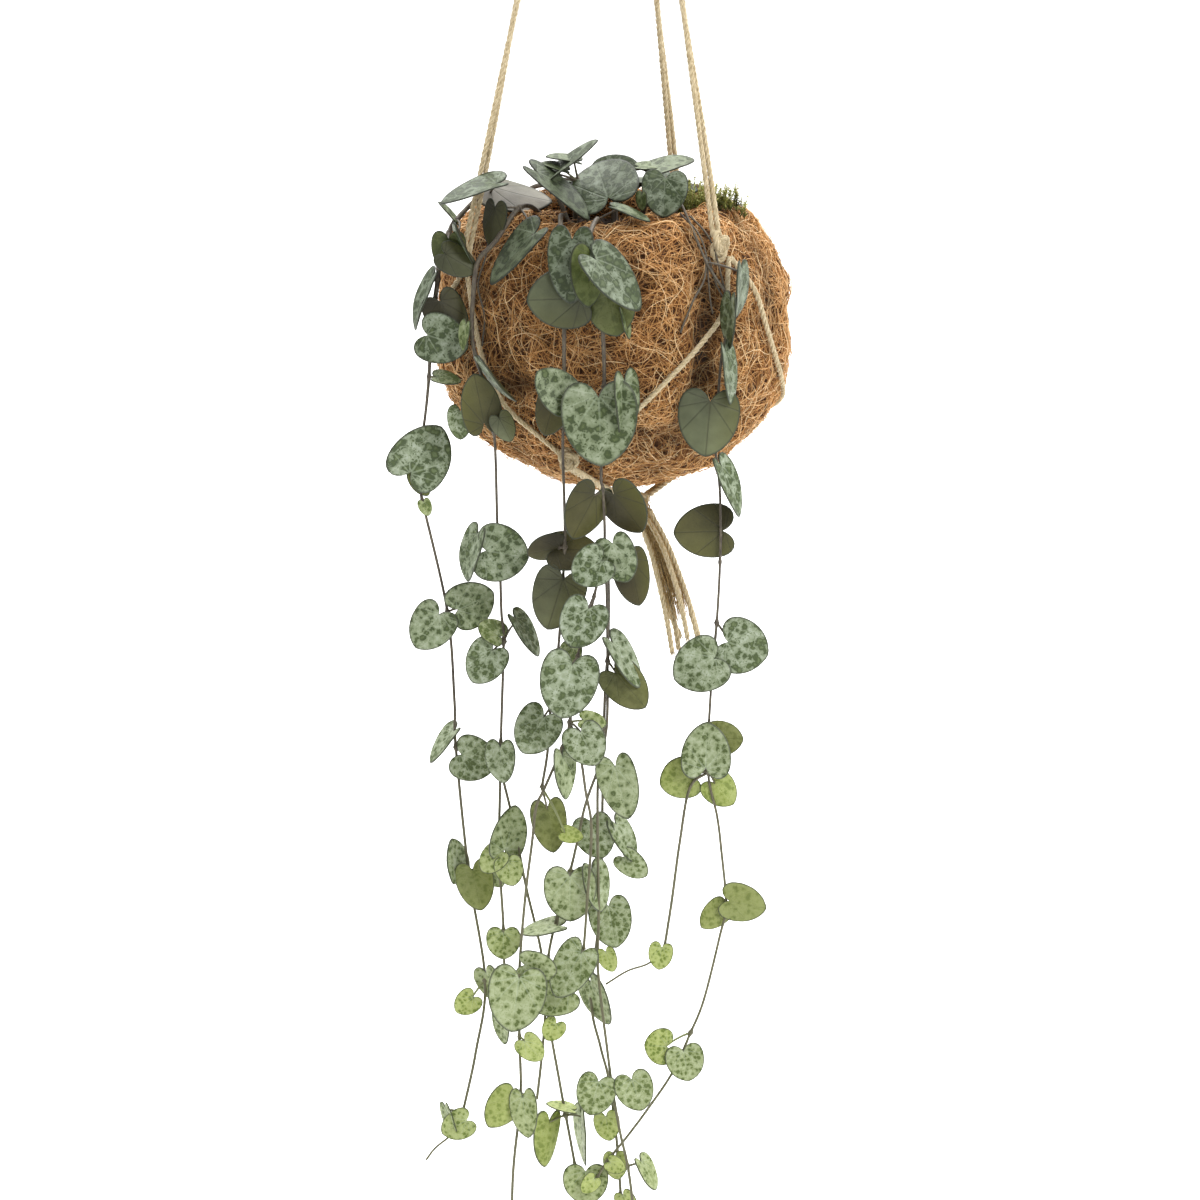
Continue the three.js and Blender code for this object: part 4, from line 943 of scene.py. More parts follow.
    # Leaves high on the plant are duller and darker, partly from age and partly as painted shade. The grain
    # is fine pimples, with the veins a little sunk.
    both = add(tree, "Mix", {0: upper, 6: olive, 7: veined}, **MIX)
    edged = add(tree, "Mix", {0: rim, 6: both, 7: "#363b2c"}, **MIX)
    aged_and_shaded = add(tree, "Mix", {0: age, 6: edged, 7: "#8d928a"}, **TINT)
    return aged_and_shaded, add(tree, "Math", {0: fine, 1: vein}, operation="SUBTRACT")


def paint_stem(tree, stops):
    look = add(tree, "Attribute", out="Vector", attribute_name="look")
    young = add(tree, "SeparateXYZ", {0: look}, out=1)
    bark = add(tree, "ValToRGB", {0: add(tree, "TexNoise", {"Scale": 160, "Detail": 3})}, stops)
    return add(tree, "Mix", {0: young, 6: bark, 7: "#767c52"}, **MIX), None


LEAF_TONES = {
    "marble": {
        0.05: "#5f6c49", 0.16: "#46532f", 0.31: "#3f4b30", 0.37: "#6c775c", 0.5: "#828d74", 0.8: "#a0a997",
    },
    "lime": {0.1: "#64742f", 0.31: "#6f7f38", 0.38: "#8f9c54", 0.7: "#a8b26f"},
    "under": {
        0.0: "#2b2711", 0.3: "#3c381b", 0.6: "#464528", 0.86: "#555a42", 0.93: "#6a6550", 1.0: "#938b80",
    },
}
STEM_TONES = {0.35: "#3b342b", 0.5: "#50483c", 0.68: "#655d4a"}
LEAF = finish("marbled_succulent_leaf", 0.5, paint_leaf, LEAF_TONES, (0.35, 0.0003), 0.32)
STEM = finish("wiry_stem_skin", 0.6, paint_stem, STEM_TONES)

# %% The heart as a grid of rings
HALF_HEART = [
    [0, 0], [0.05, -0.1], [0.13, -0.19], [0.25, -0.235], [0.37, -0.2], [0.46, -0.09], [0.505, 0.07],
    [0.51, 0.25], [0.485, 0.43], [0.43, 0.6], [0.345, 0.75], [0.24, 0.87], [0.13, 0.95], [0.05, 0.99], [0, 1],
]
HEART_MIDDLE = np.array([0, 0.3])
RINGS = np.array([0.24, 0.45, 0.62, 0.76, 0.87, 0.95, 1.0])
FOLD = 0.16


def heart_grid():
    """Rings round the blade's middle: their places, how near the rim they are, and both sides' faces."""
    half = smooth_line([[u, v, 0] for u, v in HALF_HEART], 0.088)[:, :2]
    rim = np.vstack([half, half[-2:0:-1] * [-1, 1]])
    n = len(rim)
    uv = np.vstack([HEART_MIDDLE[None]] + [HEART_MIDDLE + rho * (rim - HEART_MIDDLE) for rho in RINGS])
    rho = np.concatenate([[0], np.repeat(RINGS, n)])
    starts = [1 + ring * n for ring in range(len(RINGS))]
    faces = [[0, 1 + i, 1 + (i + 1) % n] for i in range(n)]
    for a, b in zip(starts, starts[1:]):
        faces += [[a + i, b + i, b + (i + 1) % n, a + (i + 1) % n] for i in range(n)]
    last, total = starts[-1], len(uv)
    under = [[total + k for k in face[::-1]] for face in faces]
    edge = [[last + i, total + last + i, total + last + (i + 1) % n, last + (i + 1) % n] for i in range(n)]
    return uv, rho, faces + under + edge


HEART_UV, HEART_RHO, HEART_FACES = heart_grid()
leaf_draw = np.random.default_rng(77)
print("one leaf has", len(HEART_FACES), "faces")


# %% One leaf, its stalk, and a stem
def zero_to_one(value):
    return float(np.clip(value, 0, 1))


def leaf(base, midrib, up, length, width, young, shade=None, lit=None):
    """One blade, in the place and turn of its plain plate in the solids."""
    side = np.cross(midrib, up)
    u, v = HEART_UV[:, 0], HEART_UV[:, 1]
    bend, twist, wave = leaf_draw.uniform(-0.02, 0.16), leaf_draw.normal(0, 0.05), leaf_draw.uniform(0, 6.28)
    around = np.arctan2(u, v - 0.3)
    high = FOLD * width * (np.sqrt(u**2 + 0.0025) - 0.05)
    high = high - bend * length * np.clip(v - 0.35, 0, 1) ** 2 - 0.05 * width * np.clip(-v, 0, 1) * 2
    high = high + twist * width * u * (v - 0.3) + 0.012 * width * np.sin(3 * around + wave) * HEART_RHO**2
    thick = (0.9 if length < 12 else 1.15) * (0.3 + 0.7 * np.sqrt(1 - 0.97 * HEART_RHO**2))
    flat = base + side * (u * width)[:, None] + midrib * (v * length)[:, None]
    both = np.vstack([flat + up * (high + hand * thick / 2)[:, None] for hand in (1, -1)])
    seed, tone = leaf_draw.uniform(0, 90), leaf_draw.uniform(0, 0.88)
    tone = tone if shade is None else shade
    # Large leaves have larger blotches, and those low on the stems have many small ones.
    coarse = math.sqrt(18 / length) * (1 + 0.55 * zero_to_one((-base[2] - 60) / 120))
    mm = np.stack([u * width * coarse, v * length * coarse, np.full(len(u), seed)], axis=1)
    heart = np.stack([u, v, HEART_RHO], axis=1)
    glow = min(1.0, 2.2 * young) if lit is None else lit  # light shines through a young leaf
    # Higher leaves get more of the dull grey tint, partly for their age and partly as painted shade.
    age = float(np.clip(0.5 + (base[2] - 20) / 90, 0, 0.8)) * leaf_draw.uniform(0.6, 1.2)
    return both, HEART_FACES, {
        "blade": np.vstack([mm, mm + [40, 0, 0]]),
        "heart": np.vstack([heart] * 2),
        "look": np.repeat([[1.0, young, tone], [0.0, glow, tone]], len(u), axis=0),
        "age": np.full(2 * len(u), age),
        "dense": np.full(2 * len(u), zero_to_one((base[2] + 170) / 150)),
    }


def plain_facts(count, young):
    """A stem's share of what the leaves' finish reads: only how fresh each place is."""
    fresh = np.broadcast_to(young, count)
    look = np.stack([np.ones(count), fresh, np.full(count, 0.5)], axis=1)
    none, flat = np.zeros(count), np.zeros((count, 3))
    return {"blade": flat, "heart": flat, "look": look, "age": none, "dense": none}


def stalk(start, end, up, young):
    """A thin bent petiole from the stem into the blade's notch."""
    span = np.linalg.norm(end - start)
    t = np.linspace(0, 1, 8)
    bow = start * 0.45 + end * 0.55 - up * 0.12 * span + np.array([0, 0, 0.10 * span])
    near, middle, far = ((1 - t) ** 2)[:, None], (2 * t * (1 - t))[:, None], (t**2)[:, None]
    line = near * start + middle * bow + far * end
    verts, faces, _ = tubes(line[None], up, np.linspace(0.5, 0.36, 8), 6, closed_ends=True)
    return verts, faces, plain_facts(len(verts), young)


def stem(line, nodes, radius, young_from, sides=7):
    """A wiry stem, thicker near the soil and where the leaves leave it."""
    radii = radius + 0.38 * (radius > 0.5) * np.clip((line[:, 2] + 20) / 45, 0, 1)
    for node in nodes:
        radii = radii + 0.3 * bell(np.linalg.norm(line - node, axis=1), 0, 0.9)
    verts, faces, _ = tubes(line[None], line_frames(line)[1], radii, sides, closed_ends=True)
    fresh = np.repeat(np.clip((young_from - line[:, 2]) / 240, 0, 0.3), sides)
    return verts, faces, plain_facts(len(verts), fresh)


def plant_piece(name, parts):
    """Leaves and stems of one stem system, as one piece with two finishes."""
    piece = add_piece("plant_" + name, *gather([p[:3] for p in parts]), "leaf", LEAF, [name])
    piece.data.materials.append(STEM)
    kinds = np.concatenate([np.full(len(p[1]), p[3]) for p in parts])
    piece.data.polygons.foreach_set("material_index", kinds.astype(np.int32))


def youth(length, z):
    """0 for an old leaf to 1 for a fresh lime one: small, and low on its stem."""
    small, low = zero_to_one((11.5 - length) / 3.5), zero_to_one((-z - 80) / 180)
    return min(1.0, small * (0.45 + 0.55 * low) + 0.42 * low)


# %% [markdown]
# ## Where every leaf hangs
# The stems' ways and the leaves' places are the solids' own tables, in millimetres from the ball's centre,
# but for one small leaf. It hangs a little further back here, so that its bent blade clears the one in front.

# %% Tables of the stems
STEM_R = 0.55
TENDRIL_R = 0.4
STEMS = {}


def branch(name, route, leaves, radius=STEM_R):
    """One stem of a system: places along it, and a row for each of its leaves.

    A row gives the place along the stem, the leaf's offset from it, the clock direction of its tip, its
    length and width, its turn about the midrib (180 shows the underside) and how far its tip nods away.
    """
    STEMS.setdefault(name, []).append((route, leaves, radius))


branch("vine_left_outer", [
    [-28, -10, 39.5], [-33, -12, 50], [-46, -18, 57], [-57.5, -26, 48], [-60, -30, 43.8], [-63, -34, 39.5],
    [-64, -35, 27.3], [-65, -36, 20], [-66.6, -36, 7], [-67.3, -35, -8], [-69, -34, -24.4], [-72, -32, -43],
    [-70, -31, -54], [-61, -31, -95], [-58.5, -31, -128], [-58, -31, -146], [-53.5, -31, -192],
    [-47.5, -31, -233], [-51, -31, -260], [-56, -31, -283.5],
], [
    [2, 3, -24, 6, -72, 21, 20, 78, 0], [2, 1, -4, 2.5, 75, 23, 20, 118, 0],
    [3, 0, -1, 0, -138, 9.5, 7, 80, 0], [3, 1, -16, -2, 22, 13.5, 11, 80, 0],
    [4, 0, -9, -1, 0, 12.5, 12.5, 185, 4], [5, 2, -9, -2, 60, 13, 11.5, 165, 0],
    [6, -2, 0, 0, -22, 19.5, 20, 80, 0], [7, 2, -5, 0, 28, 16.5, 15, 168, 0],
    [8, -1, -6, 1, 72, 15.5, 18, -8, 0], [9, 3, -2, 0, 80, 9, 8, -60, 0], [11, -2, -3, 0, 145, 20, 22, 8, 0],
    [11, 0, 2, -1, 25, 9.5, 8.5, 150, 0], [12, 0.5, -1, -0.5, 20, 5.5, 5, 0, 0],
    [13, -3, -2, -1, -35, 15, 16.5, 0, -8], [13, 4, -2, 1, 115, 14.5, 17.5, 8, 6],
    [15, -1, 1, 6, -38, 14.5, 14, 74, 0], [15, 2, -2, -2, 70, 13.5, 17, 0, 0],
    [16, -4, 0, -1, -172, 13.5, 13, 55, 0], [16, 1.5, -3, 1, 12, 15.5, 14, 178, 0],
    [16, 6, 1, 2, 38, 10.5, 9, 30, 0], [17, 0.5, -1, 3, 24, 12.5, 12, 40, 0],
    [17, -4.5, -2, -6, -48, 8.5, 9.5, 0, 0], [19, 1.5, -2, -2, -62, 10.5, 11.5, 0, 0],
    [19, -6, 0, 2, 18, 11.5, 9, 62, 0],
])
branch("vine_left_outer", [
    [-56, -31, -283.5], [-60, -31.5, -291], [-66, -32.5, -296], [-69.5, -33, -300.5],
], [], TENDRIL_R)
branch("vine_left_inner", [
    [-22, -22, 39.5], [-27, -30, 51], [-34, -37, 54], [-43, -43, 42], [-49, -44, 35.4], [-50.7, -45, 25],
    [-51.4, -47, 10.3], [-50, -48.5, 1], [-46.7, -49.5, -10], [-43.4, -49, -26.6], [-42.4, -45, -60],
    [-41.6, -44, -71], [-41, -44, -93], [-40.2, -44, -104], [-41.3, -44, -141], [-41.6, -44, -157],
    [-42, -44, -183], [-40.5, -44, -211], [-40.2, -44, -240],
], [
    [2, 5, -17, -8, -42, 24, 20, 68, 0], [2, -9, -3, 0, -8, 14, 10, 215, 0],
    [6, -2, -2, 2, -8, 9.5, 7.5, 60, 0], [7, 3, -6, -2, 37, 18, 15, 78, 0],
    [8, -9, 1.4, -9, 0, 10.5, 9.5, 20, 0], [9, -3.6, -4, 4, 191, 18.5, 14.5, 180, 0],
    [9, 2, -6, 6, 27, 9.5, 8.5, 180, 0], [11, -8, 0, 6, -16, 17.5, 17, 66, 0],
    [11, -5, -4, 1, 80, 16, 21, -4, 0], [13, -1.5, -1, 2, -120, 9, 10.5, 40, 0],
    [13, -4, -3, -3, -32, 14, 15, 14, 0], [13, 4.5, 0, 8, 32, 16, 14, -68, 0],
    [14, 0, -2, -2, 3, 13.5, 12, 25, 0], [16, 2, -2, 2, 165, 17, 13.5, 20, 0],
    [16, 0, -3, 1, -43, 9.5, 10, 20, 0], [16, 3, -4, -2, 14, 9.5, 10.5, 0, 0],
    [17, 0, -2, -1, 0, 10, 12.5, 0, 0], [18, -1, 0, 0, 3, 14.5, 10, 50, 0],
])
branch("vine_left_inner", [
    [-41.3, -44, -152], [-37.7, -44, -167], [-34.8, -45, -181], [-31.9, -46, -196], [-26.5, -46, -220],
    [-24, -46, -244], [-20.3, -46, -266], [-17.8, -46, -280], [-14.4, -46, -299], [-12, -46, -316],
], [
    [7, 2, -2, 2, -105, 9.5, 8, 75, 0], [7, -6, -3, -2, -7, 17.5, 12, 140, 0],
    [7, 6, 1, -1, 4, 19, 15, 75, 0], [8, 4, -3, -2, 0, 12.5, 16.5, 0, 0], [9, 0, -1, 0, -30, 9.5, 8, 20, 0],
])
branch("vine_front_left", [
    [-14, -26, 39.5], [-19, -39, 51.3], [-19, -57, 44.6], [-18, -65, 28], [-18, -66, 6], [-18, -66, -12],
    [-18.5, -64, -31], [-18, -62, -50], [-17.8, -61, -66.8], [-18.5, -60, -78.6], [-20.2, -60, -103.7],
    [-23, -60, -126], [-24.2, -60, -142.4], [-26.3, -60, -155.4],
], [
    [5, 1, -5, 0, -135, 15, 15, 20, 0], [5, -3, -1, 1, -15, 15, 13, 195, 0],
    [8, -3, 1, -1, 88, 15.5, 15, 150, 0], [8, -2, 1, 0, -80, 12, 12, 150, 0],
    [9, 0, -2, 0, -17, 19.5, 19, 180, 6], [11, -2.5, -2, -3, -30, 15.5, 16.5, 5, 0],
    [11, 4, 1, 2, 70, 8, 6.5, -30, 0], [13, 2, 2, -8, 8, 16.5, 13, 178, 0],
    [13, 8, -3, -16, 75, 7.5, 6.5, 160, 0],
])
branch("vine_front", [
    [-4, -28, 39.5], [-6, -42, 50], [-9, -59, 45.5], [-9.5, -68, 39], [-5, -69, 23.6], [-4, -69, 11],
    [-3.6, -69, -7.5], [-4.7, -70, -38.7], [-4, -71, -45], [-3.6, -73, -66], [-7.2, -74, -82.5],
    [-9.8, -74, -93.6], [-13, -74, -104.7], [-16, -74, -128.6], [-18.8, -74, -137.9], [-25, -74, -152.6],
    [-28.2, -74, -160], [-29.7, -74, -173], [-32.2, -74, -193.2], [-34.4, -74, -221], [-34.4, -74, -245],
    [-34, -74, -266.4], [-36.6, -74, -293], [-37.4, -74, -312],
], [
    [1, 7, -4, 4.5, 70, 13, 9, -78, 0], [3, -3, -4, -14, -88, 19, 22, 180, 0],
    [3, -5.5, -6, 7, -2, 23, 17, 15, 0], [3, 3, -12, 0.5, 41, 24, 19, -48, 0],
    [3, 1, -8.5, 2, -3, 19, 15, 148, 0], [4, 3, -2, 2, 12, 15, 17.5, 180, 0],
    [4, 8, -1, -4, 14, 10, 8, -70, 0], [6, -2, -5, -3, 3, 25, 27, 0, -5], [6, 7, -3, 2, 2, 21, 18, -62, 0],
    [8, -3, -1, -1, -28, 18, 15.5, 165, 0], [8, 4, -1, -1, 38, 17, 15.5, 195, 0],
    [9, 3, -5, 3, 22, 15, 15, 15, 0], [9, -1, -6, -3, -55, 12.5, 15, 10, 0],
    [9, 9, -2, -3, 12, 17.5, 14, 160, 0], [10, -2, -5, -4, -25, 15.5, 17, 5, 0],
    [12, -2, 2, 3, -10, 8.5, 9, 30, 0], [12, -2, -5, -2, -12, 20.5, 21, 5, 0],
    [13, 5, -2, 1, 80, 8.5, 7.5, -30, 0], [13, 4, -4, -3, 25, 13.5, 15.5, 10, 0],
    [14, 0, -2, -3, 5, 16, 13, -55, 0], [19, 0, -5, -1, -8, 20, 21, 0, -4], [19, 2, -1, 3, 78, 12, 13, 10, 0],
    [20, 2, -2, -1, 42, 9.5, 9.5, 0, 0], [21, -3, -2, 0, -38, 14.5, 13, 170, 0],
    [21, 1, -4, 0, 6, 15.5, 10.5, 20, 0], [23, -1, -2, 0, -25, 9, 8.5, 10, 0],
    [23, 1.5, 1, -1, 50, 8, 7, -20, 0],
])
branch("vine_front", [
    [-3.6, -73, -64], [-2.7, -66, -82], [-2.4, -60, -109], [-2.7, -60, -133], [-5.6, -60, -148],
    [-6, -60, -171], [-5.6, -60, -202], [-6, -60, -219], [-5, -60, -232], [-2.8, -60, -250],
    [-0.6, -60, -267], [2.3, -60, -284], [5, -60, -296], [7.2, -60, -313], [8, -60, -325],
], [
    [2, 3, -1, -4, 40, 17, 15, 170, 4], [2, 2, -1, 7, 32, 19, 15, -62, 0], [4, 6, -3, 1, 14, 20, 15, 15, 0],
    [7, 3, -1, 3, 20, 8, 7.5, 20, 0], [10, -5, -3, 3, -15, 13, 14.5, 0, 0],
    [10, 7, -3, 4, 18, 12.5, 14, 0, 0], [12, 5, 1, 1, 28, 12, 10, -60, 0], [14, -1, -1, 0, -15, 9, 8.5, 0, 0],
])
branch("vine_front", [
    [-3.6, -73, -66], [-2, -62, -80], [-2.2, -52, -104], [-3.3, -48, -122], [-4, -48, -150],
    [-4.3, -48, -168], [-5, -48, -201], [-8.3, -48, -236], [-5, -48, -254], [-2.2, -48, -265], [0, -48, -280],
    [1.5, -48, -295], [2.5, -48, -310],
], [
    [5, -4, -3, -2, 18, 14, 15, 5, 0], [5, 5, -2, -3, 28, 15.5, 11, -50, 0],
    [5, 8, -2, -15, 50, 11, 10, 10, 0], [6, 3, -3, 0, 10, 16, 15.5, 0, 0], [7, 0, -2, 6, 22, 17, 15, 50, 0],
    [10, -3, -2, 0, 10, 9.5, 9.5, 0, 0], [11, -1, -2, 0, 5, 9, 9, 10, 0], [12, 1, -1, 0, 30, 8.5, 8, 20, 0],
])
branch("vine_front", [
    [-16, -74, -128.6], [-12.5, -70, -140], [-10.2, -67, -156], [-8.2, -66, -170], [-10, -66, -200],
    [-11, -66, -214],
], [
    [5, -1, -2, -1, -30, 19, 15, 15, 0],
])
branch("vine_front", [
    [-5.6, -60, -148], [-10.4, -58, -162], [-13.4, -57, -176], [-16, -57, -187], [-20.3, -57, -202],
    [-24, -57, -219], [-25, -57, -239], [-26.5, -57, -257], [-28.2, -57, -272],
], [
    [3, 0, -4, -1, 0, 17, 19, 0, 0], [3, 8, -2, 1, 12, 16, 14, -50, 0], [4, 0, -1, -5, -78, 14, 12, 72, 0],
    [5, 7, -2, -12, -75, 16, 16, 5, 0], [6, 4, -2, -4, -30, 7.5, 8.5, 0, 0],
])
branch("vine_right", [
    [22, -20, 39.5], [23, -31, 55], [25.5, -41, 53], [33.5, -50.5, 35], [42, -55, 20], [39, -57, 4],
    [37.6, -58, -10.5], [36.6, -57, -29], [37.6, -56, -40], [38.4, -55, -51], [38.4, -54, -73],
    [37.3, -53, -95.5], [35, -52, -124.8], [34.3, -52, -151], [37.6, -52, -167.3], [39.2, -52, -180.2],
    [41, -52, -200.6], [38.8, -52, -211.7], [33, -52, -235.6], [28, -52, -248.4], [21.4, -52, -263.2],
    [13, -52, -276], [5, -52, -287], [-2.5, -52, -296.5], [-6.2, -52, -302.8],
], [
    [3, 12, -5.5, -2, -3, 17, 14, -72, 0], [4, 0, -4, 2, -2, 17, 13, 68, 0], [5, 1, -4, 0, 8, 19, 14, -70, 0],
    [7, -2, -3, 15, -5, 20, 22, 178, 0], [8, 1, -2, 2, 22, 19.5, 16, -68, 0],
    [10, 1, 1, 11, -88, 18, 19.5, 180, 0], [11, 4, -2, -7, 72, 15.5, 20.5, 0, 0],
    [11, -1, -3, -13, -62, 16.5, 20, 10, 0], [13, 1.5, 2.5, 12, 88, 11.5, 13, 170, 0],
    [13, -1, -3, 2, 178, 17, 18, 0, 0], [13, -6, 1, -2, -78, 12, 16, 172, 0],
    [13, 2, 1, -4, 42, 11, 12.5, 170, 0], [16, 1, -1, 2, 78, 14, 14, 176, 0],
    [16, -1, 1, -1, -48, 11, 10, 176, 0], [19, -8.5, -2, -4.5, -95, 8.5, 13.5, 5, 0],
    [19, -2.5, -3, -6, 10, 11.5, 14, 0, 0], [23, 1, -1, 0, 60, 6.5, 6.5, 0, 0],
    [24, -1, -1, 0, -40, 7, 6.5, 0, 0],
], 0.5)
branch("vine_right", [
    [34.3, -52, -151], [27.6, -52, -157], [24, -52, -177], [21.1, -52, -199], [18.5, -52, -216],
], [
    [4, -1, -1, 0, -8, 8.5, 9, 10, 0],
])
branch("vine_right", [
    [18.5, -52, -216], [13, -52, -222], [5, -52, -225], [-3, -52, -230],
], [], TENDRIL_R)
branch("crown_left", [
    [-14, -14, 39.5], [-14, -18, 52], [-13, -22, 62], [-4, -26, 56],
], [
    [3, 2, -9, 1, -158, 22.5, 25.5, 0, 56], [2, -8.4, -9, 3.3, 129, 20, 15, -80, 0],
    [2, -1, -6, 8, -100, 11, 10, 80, 0], [2, -5, -8, 5, -106, 9, 8, 75, 0],
    [2, -14.5, -17, 4.3, 50, 25, 18, -72, -5],
])
branch("crown_right", [
    [8, -12, 39.5], [11, -18, 52], [16, -26, 62], [14, -14, 66],
], [
    [3, -18.5, 5, -3, 107, 14, 14, -45, 0], [2, -6.5, 6, 5, 90, 9, 8, -75, 0],
    [2, -2, 4, 4, 104, 16, 14, -72, 10], [2, 2.5, -11, 2.3, -3, 14.3, 16.5, 0, -20],
    [2, -5.8, -14.5, -3, 0, 6, 6, 50, 0], [3, 4, 4, -5.5, 75, 14, 13, -70, 20],
])
print(sum(len(leaves) for stems in STEMS.values() for _, leaves, _ in stems), "leaves in the tables")

# %% Grow the stems seen from the front
# How light some leaves are, from 0 to 1, by their rows on the first stem. Below, 1 is grey mauve.
SHADES = {
    "vine_left_outer": {0: 0.2, 1: 1.0},
    "vine_left_inner": {0: 0.75, 1: 0.55, 3: 0.5},
    "vine_front": {1: 0.84, 2: 0.15, 3: 0.25, 4: 0.8, 5: 0.5, 7: 0.7},
    "vine_right": {3: 0.85},
    "crown_left": {0: 0.3, 4: 0.7},
    "crown_right": {3: 0.1},
}
# How much light shines through some undersides, from 0 to 1.
GLOWS = {
    "vine_left_outer": {4: 0.5, 19: 0.0},
    "vine_left_inner": {6: 0.0},
    "vine_front": {4: 0.9, 5: 0.5},
    "vine_right": {8: 0.45, 10: 0.85, 11: 1.0, 12: 0.6, 13: 0.7},
}


def leaf_axes(clock, turn, nod):
    """The midrib and the upper face's direction, as the solids turn them."""
    clock, turn, nod = np.radians([clock, turn, nod])
    midrib = np.array([np.sin(clock) * np.cos(nod), np.sin(nod), -np.cos(clock) * np.cos(nod)])
    facing = np.array([0.0, -1.0, 0.0])
    facing = unit(facing - midrib * facing.dot(midrib))
    return midrib, facing * np.cos(turn) + np.cross(midrib, facing) * np.sin(turn)


def stalked_leaf(start, base, midrib, up, length, width, shade=None, lit=None):
    young = youth(length, base[2])
    blade = leaf(base, midrib, up, length, width, young, shade, lit)
    return [(*blade, 0), (*stalk(start, base + 0.5 * midrib, up, young), 1)]


def leafy_stem(name, route, leaves, radius):
    line = smooth_line(route, STEM_STEP)
    parts, nodes = [], []
    for i, (place, x, y, z, clock, length, width, turn, nod) in enumerate(leaves):
        node = np.array(route[place], float)
        start = line[np.argmin(np.linalg.norm(line - node, axis=1))]
        midrib, up = leaf_axes(clock, turn, nod)
        looks = [table.get(name, {}).get(i) for table in (SHADES, GLOWS)]
        parts += stalked_leaf(start, node + [x, y, z], midrib, up, length, width, *looks)
        nodes.append(start)
    return parts + [(*stem(line, nodes, radius, -120), 1)]


for name, stems in STEMS.items():
    plant_piece(name, [part for i, one in enumerate(stems) for part in leafy_stem("" if i else name, *one)])

# %% [markdown]
# ## Dry tendrils
# A few old stems have lost their leaves and dried on to the wrap, like thin brown threads. They have no
# solids of their own. Each follows a line of places on the ball, moved out to where the fibre ends.

# %% Lay dry tendrils over the wrap
TENDRILS = [
    # azimuth and height of places on the wrap, round the right knot and along the fold
    [[29.8, 52], [32.5, 45.4], [32.8, 38], [32, 30], [32, 22.5], [32.8, 17]],
    [[33.5, 51], [35.8, 46], [36.9, 40.5], [37.1, 34], [37.9, 27], [39, 20]],
    [[32.3, 35], [30, 28.8], [26.1, 23], [22.9, 16], [21, 11]],
    [[33.7, 37], [34.9, 27.4], [37.5, 22], [38.4, 16]],
    [[-52, 44], [-49, 36], [-50, 26], [-46, 15], [-47, 4]],
]
ways = [smooth_line([on_ball(az, z, 1.2) for az, z in stops], STEM_STEP) for stops in TENDRILS]
parts = [stem(onto_fibre(way, 1.2), [], 0.34 + 0.04 * (i % 3), -300) for i, way in enumerate(ways)]
add_piece("plant_dry_tendrils", *gather(parts), "leaf", STEM)


# %% Grow the back stems and the inner crown
def seeded(seed):
    """The solids' own small generator, so that the same leaves come out."""
    while True:
        seed = seed * 16807 % 2147483647
        yield seed / 2147483647


def back_stem(az, low, seed):
    draw = seeded(seed)
    route = []
    for i, z in enumerate(z for z in (39.5, 55, 50, 34, 12, -10, -32) if z >= low):
        sway = az + 3 * math.sin(1.7 * i + seed)
        route.append(at_azimuth(sway, (27, 37)[i], z) if i < 2 else on_ball(sway, z, 3.4))
    line, turn = smooth_line(route, STEM_STEP), math.radians(az)
    parts, nodes = [], [np.array(place) for place in route[3:] for _ in (-1, 1)]
    for i, node in enumerate(nodes):
        hand = 2 * (i % 2) - 1
        size = 15 + 5 * next(draw)
        out = unit(np.array([math.sin(turn), -math.cos(turn), 0.35 - 0.2 * next(draw)]))
        along = np.array([math.cos(turn) * hand, math.sin(turn) * hand, -0.5 - next(draw)])
        along = unit(along - out * along.dot(out))
        base = node + out * (2.2 + 0.9 * hand) + along * 3
        parts += stalked_leaf(node, base, along, out, size, 1.05 * size)
    return parts + [(*stem(line, nodes, STEM_R, -200), 1)]


def inner_crown():
    draw = seeded(71)
    top = np.array([1.0, 7.0, 52.0])
    parts = [(*stem(smooth_line([[0, 4, 39.5], [0, 5, 47], [1, 7, 53]], STEM_STEP), [top], STEM_R, -200), 1)]
    for i in range(7):
        turn = math.radians(80 + 220 * i / 6 + 8 * next(draw))
        out = unit(np.array([math.sin(turn), -math.cos(turn), 0.08 - 0.12 * next(draw)]))
        up = unit(np.array([0, 0, 1.0]) - out * out[2])
        base = top + out * (5 + 6 * (i % 2)) + up * (4 + 3 * next(draw))
        size = 14 + 4 * next(draw)
        parts += stalked_leaf(top, base, out, up, size, 1.05 * size)
    return parts


# azimuth, lowest height and seed
BACK_STEMS = {
    "vine_back_right": (134, -10, 11),
    "vine_back": (181, -32, 23),
    "vine_back_left": (-143, -10, 37),
}
for name, facts in BACK_STEMS.items():
    plant_piece(name, back_stem(*facts))
plant_piece("crown_inner", inner_crown())

# %% [markdown]
# ## Moss
# A cushion of moss grows beside the crown: many short upright shoots, each set round with tiny pointed
# leaves, with a few thin stalks above them. Its colour runs from dark olive low down to yellow green at the
# tips. A second, sparse patch spills over the mouth's edge.

# %% Moss finish and shoots
def paint_moss(tree, stops):
    tone = add(tree, "Attribute", out="Fac", attribute_name="tone")
    return add(tree, "ValToRGB", {0: tone}, stops), None


MOSS_TONES = {0.0: "#2e2f12", 0.35: "#565a22", 0.7: "#7f8238", 0.9: "#a19f5c", 1.0: "#8d6f3f"}
MOSS = finish("living_moss", 0.8, paint_moss, MOSS_TONES)
SHOULDER_LINE = OUTLINE[OUTSIDE // 2 : OUTSIDE]


def moss_foot(x, y):
    """The height of the soil, or of the wrap outside the mouth, under a shoot."""
    r = np.hypot(x, y / BALL_DEPTH)
    over = np.interp(-r, -SHOULDER_LINE[:, 0], SHOULDER_LINE[:, 1])
    return np.where(r > MOUTH_R - 1, over - 0.5, 45.5)


